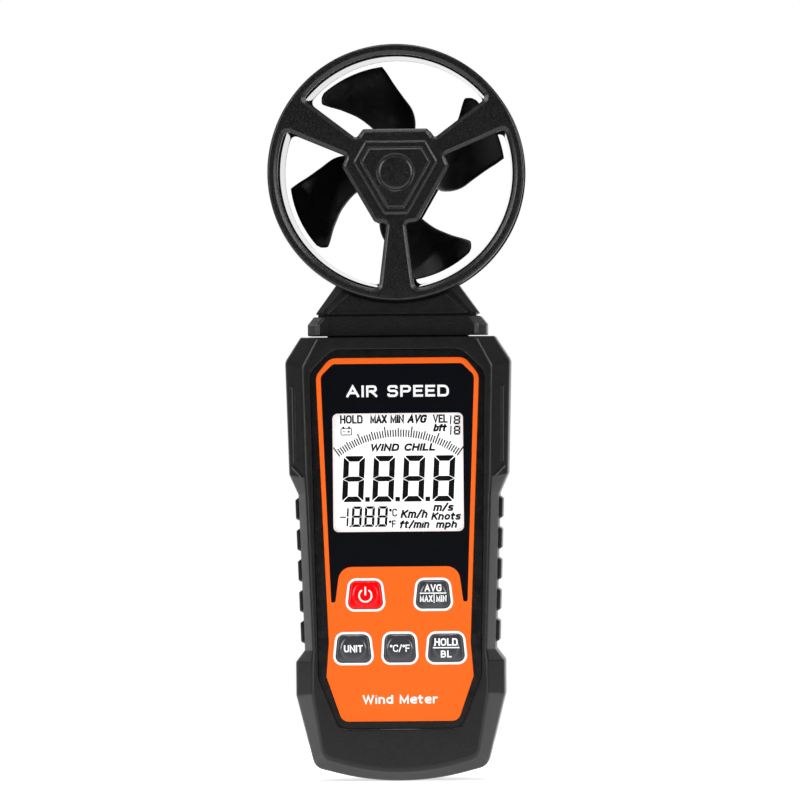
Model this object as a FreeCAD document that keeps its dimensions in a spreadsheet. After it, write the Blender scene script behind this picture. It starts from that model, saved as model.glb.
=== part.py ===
import FreeCAD, Part
import math
import operator
import os
import Sketcher

os.makedirs("parts", exist_ok=True)

# Handheld weather meter with a vane wind sensor on top.
# Frame: +Z up, the display faces -Y, the origin is under the middle of the upright case.

doc = FreeCAD.newDocument("WeatherMeter")
sheet = doc.addObject("Spreadsheet::Sheet", "Sizes")
X_WAY = FreeCAD.Vector(1, 0, 0)
Z_WAY = FreeCAD.Vector(0, 0, 1)
ORIGIN_POINT = (-1, 1)
NODES = []


# ---------------------------------------------------------------- sizes that know their formula

class Size:
    """A number from the sheet, or one worked out from such numbers, with its formula."""

    def __init__(self, value, formula):
        self.value = value
        self.formula = formula

    def __add__(self, other):
        return joined(self, "+", other)

    def __radd__(self, other):
        return joined(other, "+", self)

    def __sub__(self, other):
        return joined(self, "-", other)

    def __rsub__(self, other):
        return joined(other, "-", self)

    def __mul__(self, other):
        return joined(self, "*", other)

    def __rmul__(self, other):
        return joined(other, "*", self)

    def __truediv__(self, other):
        return joined(self, "/", other)

    def __neg__(self):
        return joined(0.0, "-", self)


SIGNS = {"+": operator.add, "-": operator.sub, "*": operator.mul, "/": operator.truediv}


def number(size):
    return size.value if isinstance(size, Size) else float(size)


def formula(size):
    return size.formula if isinstance(size, Size) else f"({float(size):.6f})"


def joined(left, sign, right):
    value = SIGNS[sign](number(left), number(right))
    return Size(value, f"({formula(left)} {sign} {formula(right)})")


def cell(alias, value):
    """Write one driving dimension (mm, degrees or a count) to the sheet."""
    cell.row += 1
    sheet.set(f"A{cell.row}", alias)
    sheet.set(f"B{cell.row}", str(value))
    sheet.setAlias(f"B{cell.row}", alias)
    return Size(float(value), f"Sizes.{alias}")


cell.row = 0


def bind(item, prop, size):
    """Tie a property to its formula, or set it when it is a plain number."""
    if isinstance(size, Size):
        item.setExpression(prop, size.formula)
    elif "." in prop:
        item.setExpression(prop, formula(size))
    else:
        setattr(item, prop, float(size))


# ---------------------------------------------------------------- driving dimensions

# Case, with its rubber boot on
half_depth = cell("half_depth", 16.0)
facet_depth = cell("facet_depth", 5.5)
top_z = cell("top_z", 106.2)
foot_corner_z = cell("foot_corner_z", -2.056)
foot_radius = cell("foot_radius", 61.8)
heel_half = cell("heel_half", 20.65)
heel_z = cell("heel_z", 3.3)
flare_half = cell("flare_half", 25.0)
flare_low_z = cell("flare_low_z", 20.6)
flare_high_z = cell("flare_high_z", 28.6)
waist_half = cell("waist_half", 22.85)
waist_z = cell("waist_z", 31.4)
grip_half = cell("grip_half", 24.05)
grip_top_z = cell("grip_top_z", 68.6)
shoulder_half = cell("shoulder_half", 26.2)
shoulder_z = cell("shoulder_z", 73.4)
side_half = cell("side_half", 26.95)
side_top_z = cell("side_top_z", 100.4)
top_half = cell("top_half", 23.2)
boot_wall = cell("boot_wall", 1.8)
shell_wall = cell("shell_wall", 1.5)
fit_gap = cell("fit_gap", 0.05)

# Grip ribs on each side of the boot
rib_count = 5
rib_first_z = cell("rib_first_z", 32.7)
rib_pitch = cell("rib_pitch", 7.35)
rib_length = cell("rib_length", 6.2)
rib_height = cell("rib_height", 0.85)
rib_half_depth = cell("rib_half_depth", 9.5)

# Front window in the boot, and the printed label inside it
window_half = cell("window_half", 20.9)
window_low_half = cell("window_low_half", 19.5)
window_low_z = cell("window_low_z", 12.55)
window_foot_half = cell("window_foot_half", 14.6)
back_window_low_z = cell("back_window_low_z", 6.7)
back_window_foot_half = cell("back_window_foot_half", 16.8)
window_top_z = cell("window_top_z", 103.2)
shell_front_y = cell("shell_front_y", -15.0)
label_inset = cell("label_inset", 1.35)
label_y = cell("label_y", -14.9)
label_thickness = cell("label_thickness", 0.4)

# Display
display_z = cell("display_z", 73.75)
display_width = cell("display_width", 31.2)
display_height = cell("display_height", 28.3)
display_corner = cell("display_corner", 1.2)
window_lap = cell("window_lap", 0.7)
window_back_y = cell("window_back_y", -14.0)
glass_lap = cell("glass_lap", 0.8)
glass_thickness = cell("glass_thickness", 1.8)
contact_ledge = cell("contact_ledge", 2.2)
display_half = display_width / 2
display_low_z = display_z - display_height / 2
display_high_z = display_z + display_height / 2
glass_back_y = window_back_y + fit_gap + glass_thickness

# Keys
key_height = cell("key_height", 6.6)
key_corner = cell("key_corner", 1.5)
key_gap = cell("key_gap", 0.12)
key_front_y = cell("key_front_y", -15.25)
key_flange = cell("key_flange", 0.6)
upper_row_z = cell("upper_row_z", 44.55)
lower_row_z = cell("lower_row_z", 31.75)
upper_key_x = cell("upper_key_x", 8.1)
lower_key_x = cell("lower_key_x", 11.1)

# Circuit board
board_y = cell("board_y", -8.0)
board_thickness = cell("board_thickness", 1.6)
board_half = cell("board_half", 18.0)
board_low_z = cell("board_low_z", 15.5)
board_high_z = cell("board_high_z", 94.3)

# Batteries, three AAA cells side by side
battery_radius = cell("battery_radius", 5.2)
battery_length = cell("battery_length", 43.5)
battery_nub = cell("battery_nub", 1.0)
battery_pitch = cell("battery_pitch", 11.3)
battery_y = cell("battery_y", 8.2)
bay_half = cell("bay_half", 17.3)
bay_low_z = cell("bay_low_z", 17.0)
bay_length = cell("bay_length", 47.5)
bay_floor_y = cell("bay_floor_y", 2.6)
bay_wall = cell("bay_wall", 1.2)
door_y = cell("door_y", 13.95)
door_back_y = cell("door_back_y", 15.4)
door_lap = cell("door_lap", 1.0)

# Screws
case_screw_low_x = cell("case_screw_low_x", 13.0)
case_screw_high_x = cell("case_screw_high_x", 15.5)
case_screw_low_z = cell("case_screw_low_z", 9.6)
case_screw_high_z = cell("case_screw_high_z", 97.1)
screw_head_radius = cell("screw_head_radius", 2.2)
screw_shank_radius = cell("screw_shank_radius", 1.1)
boss_radius = cell("boss_radius", 2.5)

# Wind sensor head
ring_z = cell("ring_z", 145.5)
ring_radius = cell("ring_radius", 30.7)
drum_radius = cell("drum_radius", 30.2)
drum_half_depth = cell("drum_half_depth", 10.0)
guard_thickness = cell("guard_thickness", 3.4)
opening_radius = cell("opening_radius", 28.3)
rear_opening_radius = cell("rear_opening_radius", 27.2)
liner_radius = cell("liner_radius", 28.9)
hub_flat = cell("hub_flat", 10.4)
hub_corner_x = cell("hub_corner_x", 7.7)
notch_x = cell("notch_x", 9.35)
notch_z = cell("notch_z", 8.15)
spoke_root_half = cell("spoke_root_half", 2.25)
spoke_tip_half = cell("spoke_tip_half", 4.4)
opening_corner = cell("opening_corner", 2.4)
badge_radius = cell("badge_radius", 10.55)
badge_seat = cell("badge_seat", 0.8)
collar_half = cell("collar_half", 21.4)
collar_low_z = cell("collar_low_z", 106.5)
collar_high_z = cell("collar_high_z", 111.0)
collar_half_depth = cell("collar_half_depth", 12.6)
neck_half = cell("neck_half", 19.7)
neck_low_z = cell("neck_low_z", 111.6)
neck_slope = cell("neck_slope", 0.72)
neck_half_depth = cell("neck_half_depth", 11.4)
tongue_half = cell("tongue_half", 16.8)
tongue_low_z = cell("tongue_low_z", 100.2)
tongue_half_depth = cell("tongue_half_depth", 8.4)

# Impeller
blade_count = 4
blade_rest_angle = cell("blade_rest_angle", 27.2)
blade_tip = cell("blade_tip", 25.9)
impeller_hub_radius = cell("impeller_hub_radius", 5.6)
impeller_half_length = cell("impeller_half_length", 7.6)
blade_thickness = cell("blade_thickness", 1.0)
shaft_radius = cell("shaft_radius", 0.75)
shaft_half_length = cell("shaft_half_length", 10.6)
bearing_radius = cell("bearing_radius", 2.4)
bearing_length = cell("bearing_length", 2.0)
bearing_y = cell("bearing_y", 8.9)
shaft_clearance = cell("shaft_clearance", 0.05)

doc.recompute()


# ---------------------------------------------------------------- helpers

def body_named(label):
    body = doc.addObject("PartDesign::Body", label)
    body.Label = label
    NODES.append(body)
    return body


def origin_feature(body, role):
    return next(item for item in body.Origin.OriginFeatures if item.Role == role)


def front_sketch(body, y):
    """A sketch in the XZ plane at depth y, seen from the front: X to the right, Z up."""
    sketch = body.newObject("Sketcher::SketchObject", "Outline")
    sketch.AttachmentSupport = [(origin_feature(body, "XZ_Plane"), "")]
    sketch.MapMode = "FlatFace"
    bind(sketch, "AttachmentOffset.Base.z", -y)
    return sketch


def level_sketch(body, z):
    """A sketch in the XY plane at height z."""
    sketch = body.newObject("Sketcher::SketchObject", "Level")
    sketch.AttachmentSupport = [(origin_feature(body, "XY_Plane"), "")]
    sketch.MapMode = "FlatFace"
    bind(sketch, "AttachmentOffset.Base.z", z)
    return sketch


def side_sketch(body):
    """A sketch in the YZ plane, seen from +X: Y to the right, Z up."""
    sketch = body.newObject("Sketcher::SketchObject", "Profile")
    sketch.AttachmentSupport = [(origin_feature(body, "YZ_Plane"), "")]
    sketch.MapMode = "FlatFace"
    return sketch


class Rules:
    """Constraints gathered for one sketch and added together, each with its formula."""

    def __init__(self, sketch):
        self.sketch = sketch
        self.rules = []
        self.formulas = []

    def add(self, kind, *terms, size=None):
        terms = list(terms)
        if size is not None:
            terms.append(number(size))
        if isinstance(size, Size):
            self.formulas.append((len(self.rules), size.formula))
        self.rules.append(Sketcher.Constraint(kind, *terms))

    def pin(self, place, across, up):
        """Hold one point at its two distances from the origin."""
        self.add("DistanceX", *ORIGIN_POINT, *place, size=across)
        self.add("DistanceY", *ORIGIN_POINT, *place, size=up)

    def apply(self):
        first = self.sketch.ConstraintCount
        self.sketch.addConstraint(self.rules)
        for index, text in self.formulas:
            self.sketch.setExpression(f"Constraints[{first + index}]", text)


def add_circle(sketch, across, up, radius):
    centre = FreeCAD.Vector(number(across), number(up), 0)
    circle = sketch.addGeometry(Part.Circle(centre, Z_WAY, number(radius)), False)
    rules = Rules(sketch)
    rules.pin((circle, 3), across, up)
    rules.add("Radius", circle, size=radius)
    rules.apply()
    return sketch


def corner_arc(before, corner, after, radius):
    """The arc that rounds a corner, and its two ends in the order of travel."""
    back = (before - corner).normalize()
    ahead = (after - corner).normalize()
    half_angle = back.getAngle(ahead) / 2
    reach = radius / math.tan(half_angle)
    start = corner + back * reach
    end = corner + ahead * reach
    centre = corner + (back + ahead).normalize() * (radius / math.sin(half_angle))
    middle = centre + (corner - centre).normalize() * radius
    return Part.Arc(start, middle, end), start, end


def add_outline(sketch, corners):
    """A closed outline through corners (across, up, rounding radius), every corner bound."""
    spots = [FreeCAD.Vector(number(c[0]), number(c[1]), 0) for c in corners]
    radii = [c[2] if len(c) > 2 else 0 for c in corners]
    count = len(corners)
    arrive, leave, arcs = [], [], []
    for i, spot in enumerate(spots):
        arc, start, end = None, spot, spot
        if number(radii[i]) > 0:
            arc, start, end = corner_arc(spots[i - 1], spot, spots[(i + 1) % count], number(radii[i]))
        arcs.append(arc)
        arrive.append(start)
        leave.append(end)
    lines = []
    for i in range(count):
        edge = Part.LineSegment(leave[i], arrive[(i + 1) % count])
        lines.append(sketch.addGeometry(edge, False))
    rules = Rules(sketch)
    for i in range(count):
        before, after = lines[i - 1], lines[i]
        if arcs[i] is None:
            rules.add("Coincident", before, 2, after, 1)
            rules.pin((after, 1), corners[i][0], corners[i][1])
        else:
            add_rounding(sketch, rules, before, after, arcs[i], corners[i])
    rules.apply()
    return sketch


def add_rounding(sketch, rules, before, after, arc, corner):
    """Join two lines with a tangent arc whose sharp corner stays where it was given."""
    spot = FreeCAD.Vector(number(corner[0]), number(corner[1]), 0)
    curve = sketch.addGeometry(arc, False)
    mark = sketch.addGeometry(Part.Point(spot), True)
    rules.pin((mark, 1), corner[0], corner[1])
    rules.add("PointOnObject", mark, 1, before)
    rules.add("PointOnObject", mark, 1, after)
    line_end = sketch.getPoint(before, 2)
    near_start = sketch.getPoint(curve, 1).distanceToPoint(line_end) < 1e-6
    first, second = (1, 2) if near_start else (2, 1)
    rules.add("Tangent", before, 2, curve, first)
    rules.add("Tangent", after, 1, curve, second)
    rules.add("Radius", curve, size=corner[2])


def mirrored(half):
    """Complete an outline given as its right half, listed from the bottom to the top."""
    left = [(-c[0], *c[1:]) for c in reversed(half) if number(c[0]) > 0]
    return list(half) + left


def rectangle(half_width, low, high, radius=0):
    return [(-half_width, low, radius), (half_width, low, radius),
            (half_width, high, radius), (-half_width, high, radius)]


def rectangle_between(left, right, low, high, radius=0):
    return [(left, low, radius), (right, low, radius), (right, high, radius), (left, high, radius)]


def extrude(body, kind, outlines, front, back):
    """Pad or pocket outlines, or circles given as (across, up, radius), from y=front to y=back."""
    sketch = front_sketch(body, front)
    for outline in outlines:
        if isinstance(outline, tuple):
            add_circle(sketch, *outline)
        else:
            add_outline(sketch, outline)
    doc.recompute()
    feature = body.newObject(f"PartDesign::{kind}", kind)
    feature.Profile = sketch
    feature.Reversed = kind == "Pad"
    bind(feature, "Length", back - front)
    before = 0 if kind == "Pad" else body.Shape.Volume
    doc.recompute()
    if kind == "Pocket" and before - body.Shape.Volume < 1e-3:
        raise RuntimeError(f"{body.Label}: a pocket cuts nothing")
    return feature


def pad(body, outlines, front, back):
    return extrude(body, "Pad", outlines, front, back)


def pocket(body, outlines, front, back):
    return extrude(body, "Pocket", outlines, front, back)


def loft(body, kind, sections):
    """Ruled loft through (y, outline) sections, all with matching corners."""
    sketches = [add_outline(front_sketch(body, y), outline) for y, outline in sections]
    doc.recompute()
    feature = body.newObject(f"PartDesign::{kind}Loft", kind + "Loft")
    feature.Profile = sketches[0]
    feature.Sections = sketches[1:]
    feature.Ruled = True
    doc.recompute()
    return feature


def polar_pattern(body, feature, count, up):
    """Repeat a feature about an axis along Y at height up."""
    axis_sketch = side_sketch(body)
    line = axis_sketch.addGeometry(Part.LineSegment(FreeCAD.Vector(0, number(up), 0),
                                                    FreeCAD.Vector(10, number(up), 0)), True)
    rules = Rules(axis_sketch)
    rules.pin((line, 1), 0, up)
    rules.pin((line, 2), 10, up)
    rules.apply()
    pattern = body.newObject("PartDesign::PolarPattern", "PolarPattern")
    pattern.Originals = [feature]
    pattern.Axis = (axis_sketch, ["Axis0"])
    pattern.Angle = 360
    pattern.Occurrences = count
    body.Tip = pattern
    doc.recompute()
    return pattern


def cylinder(name, across, y, up, radius, length):
    """A cylinder along +Y that starts at the given point."""
    item = doc.addObject("Part::Cylinder", name)
    item.Placement = FreeCAD.Placement(FreeCAD.Vector(), FreeCAD.Rotation(X_WAY, -90))
    place(item, across, y, up)
    bind(item, "Radius", radius)
    bind(item, "Height", length)
    return item


def upright_cylinder(name, across, y, up, radius, length):
    item = doc.addObject("Part::Cylinder", name)
    place(item, across, y, up)
    bind(item, "Radius", radius)
    bind(item, "Height", length)
    return item


def box(name, across, y, up):
    """A box between pairs of limits along X, Y and Z."""
    item = doc.addObject("Part::Box", name)
    place(item, across[0], y[0], up[0])
    bind(item, "Length", across[1] - across[0])
    bind(item, "Width", y[1] - y[0])
    bind(item, "Height", up[1] - up[0])
    return item


def place(item, across, y, up):
    for way, size in (("x", across), ("y", y), ("z", up)):
        bind(item, f"Placement.Base.{way}", size)


def fused(name, items):
    item = doc.addObject("Part::MultiFuse", name)
    item.Shapes = items
    return item


def node(item, label):
    """Make a finished object one of the named sub-parts."""
    item.Label = label
    NODES.append(item)
    return item


def group(label, items):
    compound = doc.addObject("Part::Compound", label + "_group")
    compound.Links = items
    return node(compound, label)


def screw(name, across, tip_y, up, head_radius, shank_radius, shank_length, head_height):
    """A pan-head screw along Y, with its head to the back."""
    shank = cylinder(name + "_shank", across, tip_y, up, shank_radius, shank_length)
    head = cylinder(name + "_head", across, tip_y + shank_length, up, head_radius, head_height)
    return fused(name, [shank, head])


# ---------------------------------------------------------------- outlines of the case

def foot_round(heel):
    """Radius of the arched foot, smaller where the foot is narrower."""
    return foot_radius * (heel / heel_half) * (heel / heel_half)


def case_outline(inset):
    """The widest section of the case, seen from the front, moved in by the inset."""
    heel = heel_half - inset
    return mirrored([
        (0.0, foot_corner_z + inset, foot_round(heel)),
        (heel, heel_z + inset, 3.0),
        (flare_half - inset, flare_low_z, 2.5),
        (flare_half - inset, flare_high_z - inset / 3, 1.0),
        (waist_half - inset, waist_z),
        (grip_half - inset, grip_top_z),
        (shoulder_half - inset, shoulder_z, 1.0),
        (side_half - inset, side_top_z - inset / 2, 2.5),
        (top_half - inset / 2, top_z - inset),
    ])


def face_outline(inset):
    """The flat front or back face inside the long side facets, moved in by the inset."""
    heel = heel_half - 2.2 - inset
    return mirrored([
        (0.0, foot_corner_z + 2.6 + inset, foot_round(heel)),
        (heel, heel_z + 2.4 + inset, 3.0),
        (flare_half - 4.1 - inset, flare_low_z + 0.4, 2.5),
        (flare_half - 4.1 - inset, flare_high_z - inset / 3, 1.0),
        (waist_half - 2.2 - inset, waist_z),
        (grip_half - 2.1 - inset, grip_top_z),
        (shoulder_half - 4.1 - inset, shoulder_z, 1.0),
        (side_half - 4.3 - inset, side_top_z - 1.2 - inset / 2, 2.5),
        (top_half - 4.2 - inset / 2, top_z - 0.2 - inset),
    ])


def window_outline(inset, low, foot_half):
    """The opening in the boot that frames the label or the back cover."""
    return mirrored([
        (foot_half - inset, low + inset, 3.0),
        (window_low_half - inset, low + 12.2, 3.0),
        (window_low_half + 0.1 - inset, waist_z + 1.0),
        (window_half - inset, window_top_z - 5.4, 1.2),
        (15.3 - inset / 2, window_top_z - inset),
    ])


def label_outline(grow):
    """The printed label: narrow at the waist of the keypad, cut off at its top corners."""
    return mirrored([
        (13.9 + grow, window_low_z + 1.7 - grow, 2.2),
        (17.65 + grow, window_low_z + 12.5, 1.5),
        (17.0 + grow, waist_z + 1.8),
        (window_half - label_inset + grow, window_top_z - 6.2, 1.2),
        (16.2 + grow / 2, window_top_z - 2.0 + grow, 0.8),
    ])


# name, centre x, centre z, half width at the top and half width at the bottom
KEYS = [
    ("power_key", -upper_key_x, upper_row_z, 3.5, 4.25),
    ("average_key", upper_key_x, upper_row_z, 3.5, 4.25),
    ("unit_key", -lower_key_x, lower_row_z, 3.6, 4.35),
    ("temperature_key", 0.0, lower_row_z, 3.45, 3.85),
    ("hold_key", lower_key_x, lower_row_z, 3.8, 4.45),
]


def key_outline(key, grow):
    _, across, up, top, bottom = key
    low = up - key_height / 2 - grow
    high = up + key_height / 2 + grow
    radius = key_corner + grow
    return [(across - bottom - grow, low, radius), (across + bottom + grow, low, radius),
            (across + top + grow, high, radius), (across - top - grow, high, radius)]


# ---------------------------------------------------------------- rubber boot

side_crease_y = half_depth - facet_depth
cavity_front = half_depth - boot_wall


def make_rubber_boot():
    body = body_named("rubber_boot")
    loft(body, "Additive", [(-half_depth, face_outline(0.0)), (-side_crease_y, case_outline(0.0)),
                            (side_crease_y, case_outline(0.0)), (half_depth, face_outline(0.0))])
    pad(body, rib_outlines(), -rib_half_depth, rib_half_depth)
    hollow_case(body, boot_wall + 0.4, boot_wall, -cavity_front, cavity_front)
    pocket(body, [window_outline(0.0, window_low_z, window_foot_half)],
           -half_depth - 1.0, -cavity_front + 0.2)
    pocket(body, [window_outline(0.0, back_window_low_z, back_window_foot_half)],
           cavity_front - 0.2, half_depth + 1.0)
    pocket(body, [rectangle(tongue_half + 0.3, top_z - 4.0, top_z + 1.0)],
           -tongue_half_depth - 0.3, tongue_half_depth + 0.3)


def rib_outlines():
    """Raised bars across both sides of the grip, with sloping ends."""
    outlines = []
    lean = (grip_half - waist_half) / (grip_top_z - waist_z)
    for i in range(rib_count):
        low = rib_first_z + i * rib_pitch
        side = waist_half + lean * (low - waist_z)
        bar = [(side - 1.0, low), (side + 0.2, low), (side + rib_height, low + 0.8),
               (side + rib_height + 0.15, low + rib_length - 0.8),
               (side + 0.4, low + rib_length), (side - 1.0, low + rib_length)]
        outlines.append(bar)
        outlines.append([(-c[0], c[1]) for c in bar])
    return outlines


def hollow_case(body, face_inset, side_inset, front, back):
    """Cut the inside of the case between two depths; the facets follow the outside."""
    crease = side_crease_y - 0.5
    sections = []
    if number(front) < 0:
        sections += [(front, face_outline(face_inset)), (-crease, case_outline(side_inset))]
    else:
        sections.append((front, case_outline(side_inset)))
    if number(back) > 0:
        sections += [(crease, case_outline(side_inset)), (back, face_outline(face_inset))]
    else:
        sections.append((back, case_outline(side_inset)))
    loft(body, "Subtractive", sections)


# ---------------------------------------------------------------- hard case halves

board_screw_places = [(-15.6, 19.0), (15.6, 19.0), (-15.6, 53.0), (15.6, 53.0)]


def case_screw_places():
    rows = ((case_screw_low_x, case_screw_low_z), (case_screw_high_x, case_screw_high_z))
    return [(side * across, up) for across, up in rows for side in (-1.0, 1.0)]


def make_front_shell():
    body = body_named("front_shell")
    outer = boot_wall + fit_gap
    inner = outer + shell_wall
    crease = side_crease_y - 0.5
    front = -cavity_front + fit_gap
    loft(body, "Additive", [(front, face_outline(outer + 0.4)), (-crease, case_outline(outer)),
                            (-fit_gap, case_outline(outer))])
    pad(body, [window_outline(0.1, window_low_z, window_foot_half)], shell_front_y, front + 0.1)
    loft(body, "Subtractive", [(front + shell_wall, face_outline(inner + 0.4)),
                               (-crease + 0.6, case_outline(inner)), (0.0, case_outline(inner))])
    wall_back = front + shell_wall
    bosses = [(across, up, boss_radius) for across, up in case_screw_places()]
    pad(body, bosses, wall_back - 0.3, -fit_gap)
    posts = [(across, up, 1.9) for across, up in board_screw_places]
    pad(body, posts, wall_back - 0.3, board_y)
    pocket(body, [label_outline(0.1)], shell_front_y - 1.0, label_y + label_thickness)
    pocket(body, [rectangle(display_half + 1.0, display_low_z - contact_ledge - 0.2,
                            display_high_z + 1.0)],
           shell_front_y - 1.0, wall_back + 1.0)
    pocket(body, [key_outline(key, key_gap) for key in KEYS], shell_front_y - 1.0, wall_back + 1.0)
    pilots = [(across, up, screw_shank_radius + fit_gap) for across, up in case_screw_places()]
    pocket(body, pilots, -9.0, 1.0)
    pocket(body, [(across, up, 0.85) for across, up in board_screw_places], -11.5, board_y + 1.0)
    pocket(body, [rectangle(tongue_half + 0.1, tongue_low_z + 2.3, top_z + 1.0)],
           -tongue_half_depth - 0.1, 1.0)


def make_rear_shell():
    body = body_named("rear_shell")
    outer = boot_wall + fit_gap
    inner = outer + shell_wall
    crease = side_crease_y - 0.5
    back = cavity_front - fit_gap
    loft(body, "Additive", [(fit_gap, case_outline(outer)), (crease, case_outline(outer)),
                            (back, face_outline(outer + 0.4))])
    pad(body, [window_outline(0.1, back_window_low_z, back_window_foot_half)],
        back - 0.1, door_back_y)
    loft(body, "Subtractive", [(0.0, case_outline(inner)), (crease - 0.6, case_outline(inner)),
                               (back - shell_wall, face_outline(inner + 0.4))])
    bay_high = bay_low_z + bay_length
    pad(body, [rectangle(bay_half + bay_wall, bay_low_z - bay_wall, bay_high + bay_wall)],
        bay_floor_y - bay_wall, back - shell_wall + 0.3)
    bosses = [(across, up, boss_radius + 0.4) for across, up in case_screw_places()]
    pad(body, bosses, fit_gap, back - shell_wall + 0.3)
    pocket(body, [rectangle(bay_half, bay_low_z, bay_high)], bay_floor_y, half_depth + 1.0)
    pocket(body, [rectangle(bay_half + door_lap + 0.1, bay_low_z - door_lap - 0.1,
                            bay_high + door_lap + 0.1, 1.6)], door_y - 0.05, half_depth + 1.0)
    holes = [(across, up, screw_shank_radius + 0.15) for across, up in case_screw_places()]
    pocket(body, holes, -1.0, half_depth + 1.0)
    sinks = [(across, up, screw_head_radius + 0.2) for across, up in case_screw_places()]
    pocket(body, sinks, 12.0, half_depth + 1.0)
    pocket(body, [rectangle(tongue_half + 0.1, tongue_low_z + 2.3, top_z + 1.0)],
           -1.0, tongue_half_depth + 0.1)


def make_case_screws():
    screws = []
    for i, (across, up) in enumerate(case_screw_places()):
        screws.append(screw(f"case_screw_{i}", across, -8.0, up, screw_head_radius,
                            screw_shank_radius, 20.0, 1.5))
    group("case_screws", screws)


# ---------------------------------------------------------------- label and display

def make_label_panel():
    body = body_named("label_panel")
    back = label_y + label_thickness
    pad(body, [label_outline(0.0)], label_y, back)
    pocket(body, [rectangle(display_half, display_low_z, display_high_z, display_corner)],
           label_y - 1.0, back + 1.0)
    pocket(body, [key_outline(key, key_gap) for key in KEYS], label_y - 1.0, back + 1.0)


def make_display_window():
    """A clear pane that fills the hole in the label, with a flange behind the label."""
    body = body_named("display_window")
    back = label_y + label_thickness
    pad(body, [rectangle(display_half - fit_gap, display_low_z + fit_gap,
                         display_high_z - fit_gap, display_corner)], label_y, back)
    pad(body, [rectangle(display_half + window_lap, display_low_z - window_lap,
                         display_high_z + window_lap, display_corner)], back, window_back_y)


def make_display_stack():
    """Glass, backlight and striped contact strip, held in a frame on the circuit board."""
    glass_half = display_half + glass_lap
    glass_low = display_low_z - contact_ledge
    glass_high = display_high_z + glass_lap
    node(box("glass", (-glass_half, glass_half), (window_back_y + fit_gap, glass_back_y),
             (glass_low, glass_high)), "lcd_glass")
    node(box("light", (-display_half - 0.6, display_half + 0.6), (glass_back_y + fit_gap, -8.4),
             (display_low_z + 1.0, display_high_z + 0.6)), "backlight_panel")
    node(box("strip", (-display_half, display_half), (glass_back_y, board_y),
             (glass_low + 0.2, glass_low + 1.8)), "contact_strip")
    body = body_named("lcd_frame")
    frame_room = 0.05
    frame_wall = 0.75
    inner_half = glass_half + frame_room
    inner_low = glass_low - frame_room
    inner_high = glass_high + frame_room
    pad(body, [rectangle(inner_half + frame_wall, inner_low - frame_wall, inner_high + frame_wall)],
        glass_back_y - 0.3, board_y)
    pocket(body, [rectangle(inner_half, inner_low, inner_high)], -half_depth, 0.0)


# ---------------------------------------------------------------- keypad

def make_keys():
    for key in KEYS:
        body = body_named(key[0])
        wall_back = -cavity_front + fit_gap + shell_wall
        pad(body, [key_outline(key, 0.0)], key_front_y, wall_back + 0.2)
        pad(body, [key_outline(key, key_flange)], wall_back + 0.05, wall_back + 0.65)
        pad(body, [(key[1], key[2], 3.0)], key_front_y - 0.15, key_front_y + 0.1)


def make_keypad_mat():
    body = body_named("keypad_mat")
    pad(body, [rectangle(16.6, lower_row_z - 7.0, upper_row_z + 6.4, 2.0)], board_y - 0.8, board_y)
    pad(body, [(key[1], key[2], 2.6) for key in KEYS], -11.3, board_y - 0.5)


# ---------------------------------------------------------------- electronics

def make_main_board():
    body = body_named("main_board")
    pad(body, [rectangle(board_half, board_low_z, board_high_z, 1.0)],
        board_y, board_y + board_thickness)
    pocket(body, [(across, up, 1.0) for across, up in board_screw_places],
           board_y - 1.0, board_y + board_thickness + 1.0)


def make_board_parts():
    back = board_y + board_thickness
    node(box("chip", (-5.0, 5.0), (back, back + 1.4), (68.0, 78.0)), "processor_chip")
    node(cylinder("beeper", 11.5, back, 84.0, 4.5, 4.0), "buzzer")
    node(box("plug", (-4.5, 4.5), (back, back + 3.6), (87.0, 91.5)), "sensor_plug")
    screws = []
    for i, (across, up) in enumerate(board_screw_places):
        screws.append(screw(f"board_screw_{i}", across, -11.0, up, 1.6, 0.8, 11.0 + back, 1.1))
    group("board_screws", screws)


# ---------------------------------------------------------------- batteries

battery_places = [(-battery_pitch, False), (0.0, True), (battery_pitch, False)]
contact_thickness = 0.4
spring_room = 2.2


def make_battery_cells():
    """Three cells, the middle one turned end for end."""
    cells = []
    for i, (across, turned) in enumerate(battery_places):
        low = bay_low_z + contact_thickness + (0.0 if turned else spring_room)
        can_low = low + battery_nub if turned else low
        nub_low = low if turned else low + battery_length
        can = upright_cylinder(f"can_{i}", across, battery_y, can_low, battery_radius, battery_length)
        nub = upright_cylinder(f"nub_{i}", across, battery_y, nub_low, 1.9, battery_nub)
        cells.append(fused(f"cell_{i}", [can, nub]))
    group("battery_cells", cells)


def make_battery_contacts():
    plates, springs = [], []
    high = bay_low_z + bay_length
    for i, (across, turned) in enumerate(battery_places):
        for k, low in enumerate((bay_low_z, high - contact_thickness)):
            plates.append(box(f"contact_{i}_{k}", (across - 4.2, across + 4.2),
                              (battery_y - 4.2, battery_y + 4.2), (low, low + contact_thickness)))
        spring_z = bay_low_z + contact_thickness
        if turned:
            spring_z = high - contact_thickness - spring_room
        springs.append(coil_spring(f"spring_{i}", across, battery_y, spring_z))
    group("battery_contacts", plates)
    group("battery_springs", springs)


def coil_spring(name, across, y, up):
    """A short compression spring, drawn as its stack of coils held together by a thin post."""
    wire = 0.25
    coils = []
    for k in range(3):
        coil = doc.addObject("Part::Torus", f"{name}_coil_{k}")
        coil.Radius1 = 2.6
        coil.Radius2 = wire
        place(coil, across, y, up + wire + 0.05 + k * 0.75)
        coils.append(coil)
    post = box(name + "_riser", (across + 2.6 - wire * 0.7, across + 2.6 + wire * 0.7),
               (y - wire * 0.7, y + wire * 0.7), (up + wire, up + wire + 1.6))
    return fused(name, coils + [post])


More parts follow.
